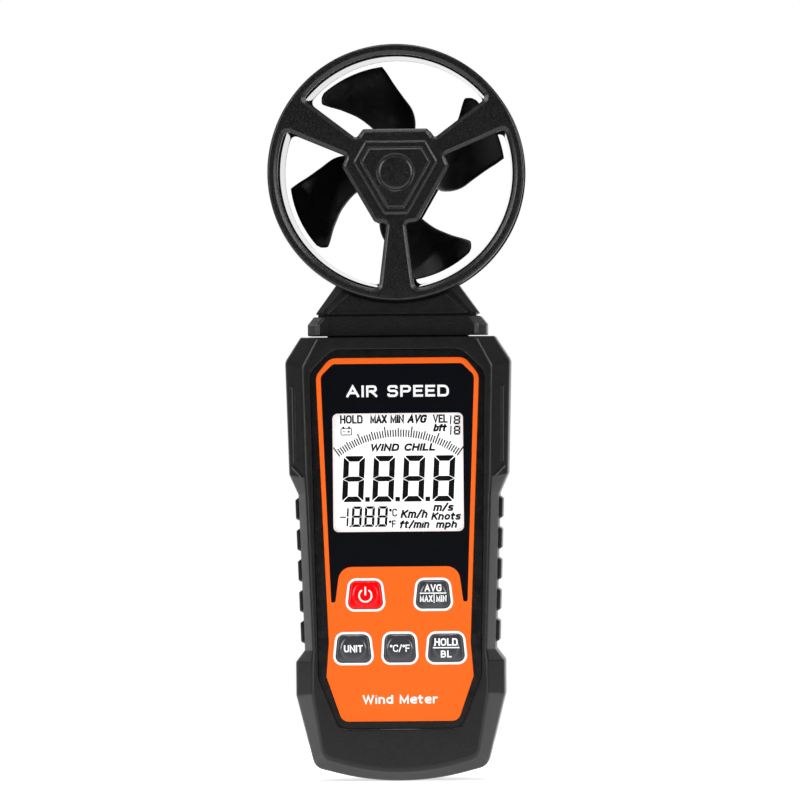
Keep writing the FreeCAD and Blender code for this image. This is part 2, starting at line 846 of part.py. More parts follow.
def make_battery_door():
    body = body_named("battery_door")
    low = bay_low_z - door_lap
    high = bay_low_z + bay_length + door_lap
    pad(body, [rectangle(bay_half + door_lap, low, high, 1.5)], door_y, door_back_y)
    pad(body, [rectangle(6.0, bay_low_z + 0.05, bay_low_z + 0.75)], door_y - 1.4, door_y + 0.1)
    grooves = [rectangle(6.0, high - 4.0 - 1.6 * k, high - 3.2 - 1.6 * k) for k in range(4)]
    pocket(body, grooves, door_back_y - 0.4, door_back_y + 1.0)


# ---------------------------------------------------------------- wind sensor head

def collar_outline(inset):
    return mirrored([
        (collar_half - inset, collar_low_z),
        (collar_half - inset, collar_low_z + 2.6),
        (collar_half - 1.5 - inset, collar_high_z),
    ])


def neck_outline(inset, low, high):
    return mirrored([
        (neck_half - inset - neck_slope * (low - neck_low_z), low),
        (neck_half - inset - neck_slope * (high - neck_low_z), high),
    ])


def make_head_shell(label, facing):
    """One half of the head: collar, neck and half of the drum. facing is -1 front, +1 back."""
    body = body_named(label)

    def span(near, far):
        """Depth limits between the parting plane side and the outside, in rising order."""
        return (-far, -near) if facing < 0 else (near, far)

    drum_seam = fit_gap / 2
    pad(body, [(0.0, ring_z, drum_radius)], *span(drum_seam, drum_half_depth))
    join_z = collar_high_z + 0.6
    loft(body, "Additive", [
        (facing * drum_seam, neck_outline(0.0, join_z, ring_z - 26.0)),
        (facing * (neck_half_depth - 4.0), neck_outline(0.0, join_z, ring_z - 26.0)),
        (facing * neck_half_depth, neck_outline(3.4, join_z, ring_z - 26.0))])
    loft(body, "Additive", [
        (facing * drum_seam, collar_outline(0.0)),
        (facing * (collar_half_depth - 3.0), collar_outline(0.0)),
        (facing * collar_half_depth, collar_outline(2.7))])
    pad(body, [rectangle(collar_half - 2.6, collar_high_z - 0.6, join_z + 0.6)],
        *span(drum_seam, neck_half_depth - 0.6))
    pad(body, [rectangle(tongue_half, tongue_low_z, collar_low_z + 0.3)],
        *span(drum_seam, tongue_half_depth))
    pad(body, [rectangle(tongue_half + 1.2, tongue_low_z, tongue_low_z + 2.2)],
        *span(drum_seam, tongue_half_depth + 1.2))
    pocket(body, [(0.0, ring_z, liner_radius + fit_gap)], *span(-1.0, half_depth))
    pocket(body, [(0.0, ring_z, ring_radius + 0.1)], *span(drum_half_depth, half_depth))
    room = span(-1.0, tongue_half_depth - 1.6)
    pocket(body, [rectangle(tongue_half - 5.2, tongue_low_z - 1.0, collar_high_z + 2.5)], *room)
    pillars = [(side * head_screw_x, head_screw_z, screw_shank_radius + 0.1) for side in (-1.0, 1.0)]
    if facing < 0:
        pocket(body, pillars, -7.0, 1.0)
        return
    pocket(body, pillars, -1.0, half_depth)
    sinks = [(side * head_screw_x, head_screw_z, screw_head_radius) for side in (-1.0, 1.0)]
    pocket(body, sinks, 9.4, half_depth)
    vents = [rectangle_between(6.6, 11.4, 112.2 + 1.5 * k, 112.9 + 1.5 * k) for k in range(2)]
    pocket(body, vents, 5.0, half_depth)
    pocket(body, [rectangle(1.1, collar_high_z, 117.8)], 3.0, drum_half_depth + 0.5)


head_screw_x = 15.6
head_screw_z = 108.6


def make_head_screws():
    screws = [screw(f"head_screw_{i}", side * head_screw_x, -6.0, head_screw_z,
                    screw_head_radius - 0.2, screw_shank_radius, 15.6, 1.4)
              for i, side in enumerate((-1.0, 1.0))]
    group("head_screws", screws)


def rotated(across, up, degrees):
    """A point turned about the middle of the ring, still bound to the sheet."""
    cosine = math.cos(math.radians(degrees))
    sine = math.sin(math.radians(degrees))
    return (across * cosine - up * sine, ring_z + across * sine + up * cosine)


def reflected(across, up):
    """A point's twin on the other side of the spoke that points to 30 degrees."""
    cosine = math.cos(math.radians(60))
    sine = math.sin(math.radians(60))
    return (across * cosine + up * sine, across * sine - up * cosine)


def hub_outline():
    """A triangle with cut corners and a small step on both sides of each spoke."""
    flat = (hub_corner_x, hub_flat)
    notch = (notch_x, notch_z)
    corners = [reflected(*flat), reflected(*notch), notch, flat]
    return [rotated(*corner, turn) for turn in (0, 120, 240) for corner in corners]


def badge_outline(grow):
    """A triangle with cut corners that sits in the middle of the hub plate."""
    reach = badge_radius + grow
    return [rotated(reach, 0.0, turn + lean) for turn in (0, 120, 240) for lean in (14, 46)]


def spoke_outline(radius):
    """The bottom spoke, wider towards the ring, from inside the hub to inside the ring."""
    return [(-spoke_root_half + 0.5, ring_z - 8.0), (-spoke_tip_half, ring_z - radius - 0.6),
            (spoke_tip_half, ring_z - radius - 0.6), (spoke_root_half - 0.5, ring_z - 8.0)]


def edges_along_y(shape, test):
    """Names of the straight edges along Y whose distance from the ring's middle passes."""
    names = []
    for i, edge in enumerate(shape.Edges, start=1):
        first, last = edge.Vertexes[0].Point, edge.Vertexes[-1].Point
        along = abs(first.x - last.x) < 1e-4 and abs(first.z - last.z) < 1e-4
        distance = math.hypot(first.x, first.z - ring_z.value)
        if along and abs(first.y - last.y) > 1e-3 and test(distance):
            names.append(f"Edge{i}")
    return names


def fillet(body, base, names, radius):
    feature = body.newObject("PartDesign::Fillet", "Fillet")
    feature.Base = (base, names)
    bind(feature, "Radius", radius)
    doc.recompute()
    return feature


def make_guard(label, facing, radius):
    """A grille: ring, three spokes and a hub plate in one moulding."""
    body = body_named(label)

    def span(near, far):
        return (-far, -near) if facing < 0 else (near, far)

    near = drum_half_depth + fit_gap
    far = drum_half_depth + guard_thickness
    pad(body, [(0.0, ring_z, ring_radius), (0.0, ring_z, radius)], *span(near, far))
    spoke = pad(body, [spoke_outline(radius)], *span(near, far))
    pattern = polar_pattern(body, spoke, 3, ring_z)
    corners = edges_along_y(pattern.Shape, lambda distance: abs(distance - radius.value) < 0.3)
    fillet(body, pattern, corners, opening_corner)
    pad(body, [hub_outline()], *span(near, far))
    pad(body, [(0.0, ring_z, bearing_radius + 2.0)], *span(bearing_y - 0.4, near + 0.5))
    pocket(body, [(0.0, ring_z, bearing_radius + 0.02)],
           *span(bearing_y - 1.0, bearing_y + bearing_length))
    pocket(body, [(0.0, ring_z, shaft_radius + 0.2)],
           *span(bearing_y - 1.0, shaft_half_length + 0.4))
    return body


def make_front_guard():
    body = make_guard("front_guard", -1.0, opening_radius)
    face = -drum_half_depth - guard_thickness
    pocket(body, [badge_outline(0.05)], face - 1.0, face + badge_seat)


def make_rear_guard():
    """The rear grille also carries the speed sensor and the channel for its lead."""
    body = make_guard("rear_guard", 1.0, rear_opening_radius)
    near = drum_half_depth - 1.0
    pocket(body, [rectangle(2.2, ring_z - 8.7, ring_z - 5.3)], near, near + 2.6)
    pocket(body, [rectangle(1.0, ring_z - 30.0, ring_z - 8.0)], near, near + 2.4)


def make_hub_badge():
    body = body_named("hub_badge")
    face = -drum_half_depth - guard_thickness
    pad(body, [badge_outline(0.0)], face - 0.35, face + badge_seat - fit_gap)


def revolve(body, corners, up):
    """Turn a (depth, radius) profile about the ring's axis."""
    sketch = side_sketch(body)
    add_outline(sketch, [(c[0], up + c[1]) for c in corners])
    axis = sketch.addGeometry(Part.LineSegment(FreeCAD.Vector(0, number(up), 0),
                                               FreeCAD.Vector(5, number(up), 0)), True)
    rules = Rules(sketch)
    rules.pin((axis, 1), 0, up)
    rules.pin((axis, 2), 5, up)
    rules.apply()
    doc.recompute()
    feature = body.newObject("PartDesign::Revolution", "Revolution")
    feature.Profile = sketch
    feature.ReferenceAxis = (sketch, ["Axis0"])
    feature.Angle = 360
    doc.recompute()
    return feature


def make_duct_liner():
    """A smooth sleeve inside the drum that narrows towards the back, with one step."""
    body = body_named("duct_liner")
    edge = drum_half_depth - fit_gap
    revolve(body, [(-edge, opening_radius), (-6.0, opening_radius - 0.15),
                   (-6.0, opening_radius - 0.45), (edge, rear_opening_radius),
                   (edge, liner_radius), (-edge, liner_radius)], ring_z)


# ---------------------------------------------------------------- impeller, shaft and bearings

# Straight-line sections of the blade that points up, by height above the axis when the tip
# radius is DRAWN_TIP: x of the hollow front edge, x of the straight back edge, and the half
# depth between them
DRAWN_TIP = 25.9
BLADE_SECTIONS = [(4.2, 0.6, 4.2, 5.0), (7.3, 0.4, 8.7, 5.6), (11.4, 0.0, 10.3, 5.6),
                  (15.8, -1.9, 9.8, 5.4), (19.4, -4.8, 9.3, 5.2), (22.6, -8.0, 9.0, 5.0),
                  (26.4, -9.4, 8.4, 4.8)]


def make_impeller():
    """Hub and four twisted blades about the Y axis, then moved to the middle of the ring."""
    body = body_named("impeller")
    sections = []
    for up, hollow_x, straight_x, half in BLADE_SECTIONS:
        sketch = level_sketch(body, up * blade_tip / DRAWN_TIP)
        low, high = half - blade_thickness / 2, half + blade_thickness / 2
        add_outline(sketch, [(hollow_x, -high), (straight_x, low), (straight_x, high),
                             (hollow_x, -low)])
        sections.append(sketch)
    doc.recompute()
    blade = body.newObject("PartDesign::AdditiveLoft", "Blade")
    blade.Profile = sections[0]
    blade.Sections = sections[1:]
    blade.Ruled = True
    doc.recompute()
    polar_pattern(body, blade, blade_count, 0.0)
    half = impeller_half_length
    pad(body, [(0.0, 0.0, impeller_hub_radius)], -half, half)
    pocket(body, [(0.0, 0.0, blade_tip * 2), (0.0, 0.0, blade_tip)], -half_depth, half_depth)
    pocket(body, [(0.0, 0.0, shaft_radius)], -half_depth, half_depth)
    pocket(body, [(0.0, 0.0, 5.0), (0.0, 0.0, 3.2)], half - 1.5, half_depth)
    turn = FreeCAD.Rotation(FreeCAD.Vector(0, -1, 0), blade_rest_angle.value)
    body.Placement = FreeCAD.Placement(FreeCAD.Vector(0, 0, ring_z.value), turn)
    bind(body, "Placement.Base.z", ring_z)
    bind(body, "Placement.Rotation.Angle", blade_rest_angle)


def make_shaft_parts():
    node(cylinder("shaft", 0.0, -shaft_half_length, ring_z, shaft_radius, shaft_half_length * 2),
         "impeller_shaft")
    for label, start in (("front_bearing", -bearing_y - bearing_length), ("rear_bearing", bearing_y)):
        body = body_named(label)
        pad(body, [(0.0, ring_z, bearing_radius), (0.0, ring_z, shaft_radius + shaft_clearance)],
            start, start + bearing_length)
    body = body_named("hub_magnet")
    pad(body, [(0.0, ring_z, 5.0), (0.0, ring_z, 3.2)],
        impeller_half_length - 1.5, impeller_half_length)
    near = drum_half_depth + fit_gap
    node(box("hall_chip", (-2.0, 2.0), (near, near + 1.4), (ring_z - 8.5, ring_z - 5.5)),
         "speed_sensor")


# ---------------------------------------------------------------- leads

def make_lead(label, across, route, radius):
    """A lead that runs in one upright plane: straight runs with a rounded turn at each point."""
    body = body_named(label)
    spine = side_sketch(body)
    bind(spine, "AttachmentOffset.Base.z", across)
    spots = [FreeCAD.Vector(number(y), number(up), 0) for y, up in route]
    start = spots[0]
    for i in range(1, len(spots) - 1):
        bend = 0.45 * min(spots[i].distanceToPoint(spots[i - 1]), spots[i].distanceToPoint(spots[i + 1]))
        turn = (spots[i] - spots[i - 1]).getAngle(spots[i + 1] - spots[i])
        arc, begin, end = corner_arc(spots[i - 1], spots[i], spots[i + 1], bend / math.tan(turn / 2))
        spine.addGeometry(Part.LineSegment(start, begin), False)
        spine.addGeometry(arc, False)
        start = end
    spine.addGeometry(Part.LineSegment(start, spots[-1]), False)
    section = level_sketch(body, route[0][1])
    add_circle(section, across, route[0][0], radius)
    doc.recompute()
    pipe = body.newObject("PartDesign::AdditivePipe", "Pipe")
    pipe.Profile = section
    pipe.Spine = (spine, [])
    doc.recompute()


def make_leads():
    sensor_route = [(drum_half_depth + 0.75, ring_z - 8.6), (drum_half_depth + 0.75, 117.2),
                    (5.2, 111.6), (1.0, 103.0), (-4.6, 98.2), (-4.6, 91.55)]
    make_lead("sensor_lead", 0.0, sensor_route, 0.6)
    back = board_y + board_thickness
    top = bay_low_z + bay_length + bay_wall
    for label, across in (("red_lead", -14.5), ("black_lead", 14.5)):
        make_lead(label, across, [(6.0, top + 0.05), (6.0, top + 4.5), (1.0, top + 8.0),
                                  (back + 0.05, top + 8.5)], 0.6)


def make_thermistor():
    bead = upright_cylinder("bead", 9.6, 4.6, 111.2, 1.0, 2.0)
    legs = [upright_cylinder(f"leg_{i}", 9.6 + side, 4.6, 103.0, 0.25, 8.3)
            for i, side in enumerate((-0.5, 0.5))]
    node(fused("thermistor_solid", [bead] + legs), "thermistor")


make_rubber_boot()
make_front_shell()
make_rear_shell()
make_case_screws()
make_label_panel()
make_display_window()
make_display_stack()
make_keys()
make_keypad_mat()
make_main_board()
make_board_parts()
make_battery_cells()
make_battery_contacts()
make_battery_door()
make_head_shell("head_front_shell", -1.0)
make_head_shell("head_rear_shell", 1.0)
make_head_screws()
make_front_guard()
make_rear_guard()
make_hub_badge()
make_duct_liner()
make_impeller()
make_shaft_parts()
make_leads()
make_thermistor()

doc.recompute()
for item in doc.Objects:
    if "Invalid" in item.State or "Error" in item.State:
        raise RuntimeError(f"{item.Label} failed: {item.State}")
for item in NODES:
    if item.Shape.isNull() or not item.Shape.isValid():
        raise RuntimeError(f"{item.Label} has no valid shape")
for item in NODES:
    item.Shape.exportStep(f"parts/{item.Label}.step")
    print(item.Label, len(item.Shape.Solids), round(item.Shape.Volume, 1))
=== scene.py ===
import math

import bmesh
import bpy
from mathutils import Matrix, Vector
from mathutils.geometry import delaunay_2d_cdt


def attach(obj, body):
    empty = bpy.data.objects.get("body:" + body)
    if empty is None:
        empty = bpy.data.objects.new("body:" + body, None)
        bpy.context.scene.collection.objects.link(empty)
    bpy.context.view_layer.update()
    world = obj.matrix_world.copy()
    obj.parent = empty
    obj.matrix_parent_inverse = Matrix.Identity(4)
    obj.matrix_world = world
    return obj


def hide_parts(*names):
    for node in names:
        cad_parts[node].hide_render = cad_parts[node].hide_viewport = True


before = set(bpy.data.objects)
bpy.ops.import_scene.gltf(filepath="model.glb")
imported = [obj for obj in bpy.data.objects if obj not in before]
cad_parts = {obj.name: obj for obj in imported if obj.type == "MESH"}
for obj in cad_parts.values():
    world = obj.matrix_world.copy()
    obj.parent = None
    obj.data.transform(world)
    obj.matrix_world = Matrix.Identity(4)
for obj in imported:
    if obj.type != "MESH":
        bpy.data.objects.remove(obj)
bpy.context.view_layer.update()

# A handheld weather meter with a vane wind sensor. Sizes below are millimetres in the CAD frame:
# X to the right, Z up, and the display faces -Y. Outlines are lists of (x, z, rounding radius).
MM = 0.001
RING_Z = 145.5    # Height of the wind sensor's axis
FINE = 5          # Steps round a corner that doesn't state its own


# ---------------------------------------------------------------- materials

def linear(*levels):
    """A colour in screen levels from 0 to 255, as linear light."""
    parts = [level / 255 for level in levels]
    return [c / 12.92 if c <= 0.04045 else ((c + 0.055) / 1.055) ** 2.4 for c in parts] + [1.0]


def feed(tree, socket, value):
    """Link an input to another node's output, or set it to a constant."""
    if isinstance(value, bpy.types.NodeSocket):
        tree.links.new(value, socket)
    else:
        socket.default_value = value


def add_node(tree, kind, **inputs):
    node = tree.nodes.new("ShaderNode" + kind)
    for name, value in inputs.items():
        feed(tree, node.inputs[name.replace("_", " ")], value)
    return node


def noise(tree, place, scale, detail, stretch=(1, 1, 1)):
    mapping = add_node(tree, "Mapping", Vector=place, Scale=stretch)
    return add_node(tree, "TexNoise", Vector=mapping.outputs["Vector"], Scale=scale,
                    Detail=detail).outputs["Fac"]


def remap(tree, value, low, high, start=0.3, end=0.7):
    """Move values between start and end to between low and high."""
    return add_node(tree, "MapRange", Value=value, From_Min=start, From_Max=end, To_Min=low,
                    To_Max=high).outputs["Result"]


def blended(tree, factor, first, second):
    node = add_node(tree, "Mix")
    node.data_type = "RGBA"
    for name, value in (("Factor", factor), ("A", first), ("B", second)):
        feed(tree, node.inputs[name], value)
    return node.outputs["Result"]


def scaled(colour, factor):
    return [min(c * factor, 1.0) for c in colour[:3]] + [1.0]


def material(name, levels, rough, metal=0.0, specular=0.5, grain=3500, depth=0.25, height=0.03,
             blotch=0.12, spread=0.08, grain_glint=0.25, scuff=0.0, stretch=(1, 1, 1), **sockets):
    """Moulded or metal surface: fine grain in the bump, soft colour and roughness changes,
    painted glints as paler specks on the tops of the grain, and rubbed patches where scuff is above
    zero."""
    made = bpy.data.materials.new(name)
    made.use_nodes = True
    tree = made.node_tree
    shader = tree.nodes["Principled BSDF"]
    place = add_node(tree, "TexCoord").outputs["Object"]
    colour = linear(*levels)
    broad = remap(tree, noise(tree, place, 90, 4, stretch), 0.0, 1.0)
    paint = blended(tree, broad, scaled(colour, 1 - blotch), scaled(colour, 1 + blotch))
    fine = noise(tree, place, grain, 3, stretch)
    # Painted glints: the tops of the grain are painted paler, as though they caught the light.
    glint_mask = remap(tree, fine, 0.0, 1.0, 0.45, 0.75)
    paint = blended(tree, glint_mask, paint, scaled(colour, 1 + grain_glint))
    if scuff:
        rub = remap(tree, noise(tree, place, 260, 8), 0.0, scuff, 0.62, 0.74)
        paint = blended(tree, rub, paint, scaled([c + 0.02 for c in colour], 2.0))
    patch = noise(tree, place, 420, 5, stretch)
    if depth:
        bump = add_node(tree, "Bump", Strength=depth, Distance=height * MM, Height=fine)
        sockets["Normal"] = bump.outputs["Normal"]
    sockets |= {"Base Color": paint, "Metallic": metal, "Specular IOR Level": specular,
                "Roughness": remap(tree, patch, rough - spread, rough + spread)}
    for key, value in sockets.items():
        feed(tree, shader.inputs[key.replace("_", " ")], value)
    return made


def board_material():
    """Green solder mask with a brick maze of slightly paler lines for copper tracks."""
    made = material("green_board", (22, 84, 48), 0.35, depth=0.1)
    tree = made.node_tree
    place = add_node(tree, "TexCoord").outputs["Object"]
    upright = add_node(tree, "Mapping", Vector=place, Rotation=(math.radians(90), 0, 0))
    tracks = add_node(tree, "TexBrick", Vector=upright.outputs["Vector"], Scale=420,
                      Mortar_Size=0.035, Color1=linear(18, 78, 44), Color2=linear(24, 92, 54),
                      Mortar=linear(70, 140, 84))
    feed(tree, tree.nodes["Principled BSDF"].inputs["Base Color"], tracks.outputs["Color"])
    return made


RUBBER = material("boot_rubber", (16, 16, 17), 0.34, specular=0.36, grain=2600, depth=0.2,
                  height=0.08, blotch=0.16, spread=0.03, grain_glint=1.3, scuff=0.03)
CASE = material("case_plastic", (12, 12, 13), 0.26, specular=0.34, depth=0.15, blotch=0.1,
                grain_glint=0.5)
DOOR = material("door_plastic", (17, 17, 18), 0.38, specular=0.4, grain=2400, depth=0.5,
                height=0.1, blotch=0.15, grain_glint=0.9, scuff=0.05)
HEAD = material("head_plastic", (11, 11, 12), 0.33, specular=0.42, grain=2300, depth=0.3,
                height=0.1, blotch=0.2, spread=0.03, grain_glint=4.0, scuff=0.03)
GRILLE = material("grille_plastic", (12, 12, 13), 0.32, specular=0.46, grain=2100, depth=0.3,
                  height=0.11, blotch=0.25, spread=0.03, grain_glint=5.0, scuff=0.03)
BLADE = material("blade_plastic", (16, 16, 17), 0.34, specular=0.6, depth=0.12, blotch=0.1)
SLEEVE = material("polished_sleeve", (14, 14, 15), 0.08, specular=0.6, depth=0.05, height=0.01,
                  spread=0.03, Coat_Weight=0.6, Coat_Roughness=0.04)
ORANGE = material("orange_print", (246, 101, 23), 0.5, specular=0.18, grain=5000, depth=0.1,
                  height=0.01, blotch=0.02, grain_glint=0.03)
BLACK = material("black_print", (8, 10, 15), 0.32, specular=0.08, grain=5000, depth=0.08,
                 height=0.01, blotch=0.08, spread=0.03)
WHITE = material("white_print", (250, 250, 250), 0.5, specular=0.2, grain=5000, depth=0.08,
                 height=0.01, blotch=0.01, grain_glint=0.02)
GREY_KEY = material("grey_key", (54, 56, 62), 0.18, specular=0.5, grain=4200, depth=0.08,
                    blotch=0.05, spread=0.05, grain_glint=0.1)
RED_KEY = material("red_key", (238, 0, 2), 0.2, specular=0.25, grain=4200, depth=0.08,
                   blotch=0.04, spread=0.05, grain_glint=0.05)
# The display face glows with painted light, which keeps it plain white and fills in the shade at
# the window's edge.
GLOWING_LCD = material("lcd_face_painted_glow", (246, 247, 247), 0.35, specular=0.3, depth=0.05, blotch=0.01,
               grain_glint=0.02, Emission_Strength=0.45, Emission_Color=(1.0, 1.0, 1.0, 1.0))
SEGMENT = material("lcd_segment", (4, 4, 5), 0.4, specular=0.2, depth=0.05, blotch=0.1)
PANE = material("clear_pane", (20, 20, 22), 0.03, specular=0.5, depth=0.0, blotch=0.0,
                spread=0.02, Alpha=0.05)
STEEL = material("screw_steel", (120, 121, 124), 0.32, metal=1.0, grain=1800, depth=0.2,
                 blotch=0.15, stretch=(1, 1, 6))
DARK_STEEL = material("blackened_steel", (46, 46, 48), 0.34, metal=0.9, grain=1800, depth=0.2,
                      blotch=0.2)
NICKEL = material("nickel_contact", (176, 174, 166), 0.25, metal=1.0, grain=2400, depth=0.2,
                  blotch=0.1, stretch=(6, 1, 1))
BRASS = material("bearing_brass", (190, 150, 74), 0.3, metal=1.0, grain=2400, depth=0.15)
MAGNET = material("magnet_plating", (96, 97, 100), 0.28, metal=1.0, grain=2600, depth=0.15)
JACKET = material("battery_jacket", (20, 22, 26), 0.28, specular=0.5, depth=0.08, blotch=0.1)
COPPER = material("battery_band", (176, 104, 52), 0.3, metal=0.75, depth=0.1, blotch=0.06)
CARBON = material("keypad_rubber", (92, 94, 98), 0.6, specular=0.3, depth=0.3)
MILK = material("white_plastic", (226, 227, 224), 0.42, specular=0.4, depth=0.1, blotch=0.03)
CHIP = material("chip_epoxy", (24, 24, 26), 0.55, specular=0.3, depth=0.5, blotch=0.15)
STRIPES = material("contact_strip", (120, 92, 98), 0.6, specular=0.2, depth=0.2)
RED_WIRE = material("red_wire", (190, 22, 22), 0.4, depth=0.1)
BLACK_WIRE = material("black_wire", (18, 18, 19), 0.4, depth=0.1)
GREY_WIRE = material("grey_wire", (98, 99, 102), 0.45, depth=0.1)
RESIN = material("sensor_bead", (38, 34, 30), 0.2, specular=0.6, depth=0.05)
BOARD = board_material()

# The CAD nodes that keep their own shape, by finish
FINISHES = [
    (CASE, "front_shell rear_shell"), (PANE, "display_window"), (GLOWING_LCD, "lcd_glass"),
    (MILK, "backlight_panel lcd_frame sensor_plug"), (STRIPES, "contact_strip"),
    (CARBON, "keypad_mat"), (BOARD, "main_board"), (CHIP, "processor_chip buzzer speed_sensor"),
    (STEEL, "board_screws impeller_shaft"), (NICKEL, "battery_contacts"),
    (BRASS, "front_bearing rear_bearing"), (GREY_WIRE, "sensor_lead"), (RED_WIRE, "red_lead"),
    (BLACK_WIRE, "black_lead"), (RESIN, "thermistor"), (MAGNET, "hub_magnet"),
]
for finish, labels in FINISHES:
    for label in labels.split():
        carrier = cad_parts[label].data
        carrier.materials.clear()
        carrier.materials.append(finish)


# ---------------------------------------------------------------- outlines

def mirrored(half):
    """Complete an outline from its right half, listed from the bottom to the top."""
    return half + [(-c[0], *c[1:]) for c in reversed(half) if c[0] > 0]


def rectangle(half_width, low, high, radius=0.0, middle=0.0):
    return [(middle - half_width, low, radius), (middle + half_width, low, radius),
            (middle + half_width, high, radius), (middle - half_width, high, radius)]


def rounded(corners, closed=True):
    """Points along an outline. Each corner (x, z, radius, steps) gives steps + 1 points, and its
    rounding takes up less than half of each side beside it, or most of it on a wide arc."""
    points = []
    for i, corner in enumerate(corners):
        here = Vector(corner[:2])
        if not closed and i in (0, len(corners) - 1):
            points.append(here)
            continue
        radius = corner[2] if len(corner) > 2 else 0.0
        steps = corner[3] if len(corner) > 3 else FINE
        back = Vector(corners[i - 1][:2]) - here
        ahead = Vector(corners[(i + 1) % len(corners)][:2]) - here
        if not closed and not radius:
            points.append(here)
            continue
        half = back.angle(ahead) / 2
        reach = radius if half > math.radians(89) else radius / math.tan(half)
        most = 0.85 if radius > 20 else 0.48
        reach = min(max(reach, 0.04), most * back.length, most * ahead.length)
        start = here + back.normalized() * reach
        end = here + ahead.normalized() * reach
        for k in range(steps + 1):
            t = k / steps
            a, b, c = (1 - t) ** 2, 2 * math.sin(half) * t * (1 - t), t * t
            points.append((start * a + here * b + end * c) / (a + b + c))
    return points


def grown(corners, distance):
    """The corners of an anticlockwise outline moved outwards by a distance."""
    moved = []
    for i, corner in enumerate(corners):
        here = Vector(corner[:2])
        before = (here - Vector(corners[i - 1][:2])).normalized()
        after = (Vector(corners[(i + 1) % len(corners)][:2]) - here).normalized()
        out = Vector((before.y + after.y, -before.x - after.x)).normalized()
        shift = out * (distance / max(out.dot(Vector((before.y, -before.x))), 0.3))
        radius = corner[2] if len(corner) > 2 else 0.0
        if radius:
            radius = max(radius + math.copysign(distance, before.cross(after) * distance), 0.05)
        moved.append((here.x + shift.x, here.y + shift.y, radius, *corner[3:]))
    return moved


def circle(radius, count=192, across=0.0, up=RING_Z):
    """Points round a circle, about the wind sensor's axis unless a centre is given."""
    turns = [2 * math.pi * k / count for k in range(count)]
    return [Vector((across + radius * math.cos(t), up + radius * math.sin(t))) for t in turns]


def divided(outline, parts, stride):
    """An outline with each side between two rounded corners of stride points cut up evenly."""
    result = []
    for i, here in enumerate(outline):
        result.append(here)
        if i % stride == stride - 1:
            ahead = outline[(i + 1) % len(outline)]
            result += [here.lerp(ahead, k / parts) for k in range(1, parts)]
    return result


def circle_facing(outline, across, up, radius):
    """A circle with one point towards each point of an outline round it."""
    turns = [math.atan2(p.y - up, p.x - across) for p in outline]
    return [Vector((across + radius * math.cos(t), up + radius * math.sin(t))) for t in turns]


def at_depth(outline, y):
    return [(p[0], y, p[1]) for p in outline]


def last_within(low, high, within):
    """The highest value between two at which a test still holds."""
    for _ in range(30):
        middle = (low + high) / 2
        low, high = (middle, high) if within(middle) else (low, middle)
    return low


def ring_of(corners, y):
    """The rounded outline of some corners, at depth y."""
    return at_depth(rounded(corners), y)


def inside(x, z, outline):
    """Whether a point lies within a closed outline."""
    odd = False
    for i, here in enumerate(outline):
        last = outline[i - 1]
        if (here[1] > z) != (last[1] > z):
            if x < (last[0] - here[0]) * (z - here[1]) / (last[1] - here[1]) + here[0]:
                odd = not odd
    return odd


def softened(rings, reaches, steps=3, wrap=False):
    """Matched rings with the fold at each ring rounded over its reach on both sides."""
    result = []
    for i, ring in enumerate(rings):
        if not reaches[i] or (not wrap and i in (0, len(rings) - 1)):
            result.append(ring)
            continue
        before, after = rings[i - 1], rings[(i + 1) % len(rings)]
        for k in range(steps + 1):
            t = k / steps
            bent = []
            for p, q, r in zip(before, ring, after):
                p, q, r = Vector(p), Vector(q), Vector(r)
                start = q + (p - q).normalized() * min(reaches[i], 0.45 * (p - q).length)
                end = q + (r - q).normalized() * min(reaches[i], 0.45 * (r - q).length)
                bent.append(start * (1 - t) ** 2 + q * 2 * t * (1 - t) + end * t * t)
            result.append(bent)
    return result


# ---------------------------------------------------------------- plain lettering

HOOK = 0.3    # An end run shorter than this keeps its length, so that open letters stay open
BOWL = [(0, 0, 0.27), (0.54, 0, 0.27), (0.54, 0.72, 0.27), (0, 0.72, 0.27), "closed"]
ARCH = [(0, 0.4), (0, 0.72, 0.2), (0.5, 0.72, 0.24), (0.5, 0)]
STEM = [(0, 0), (0, 0.72)]
POST = [(0, 0), (0, 1)]
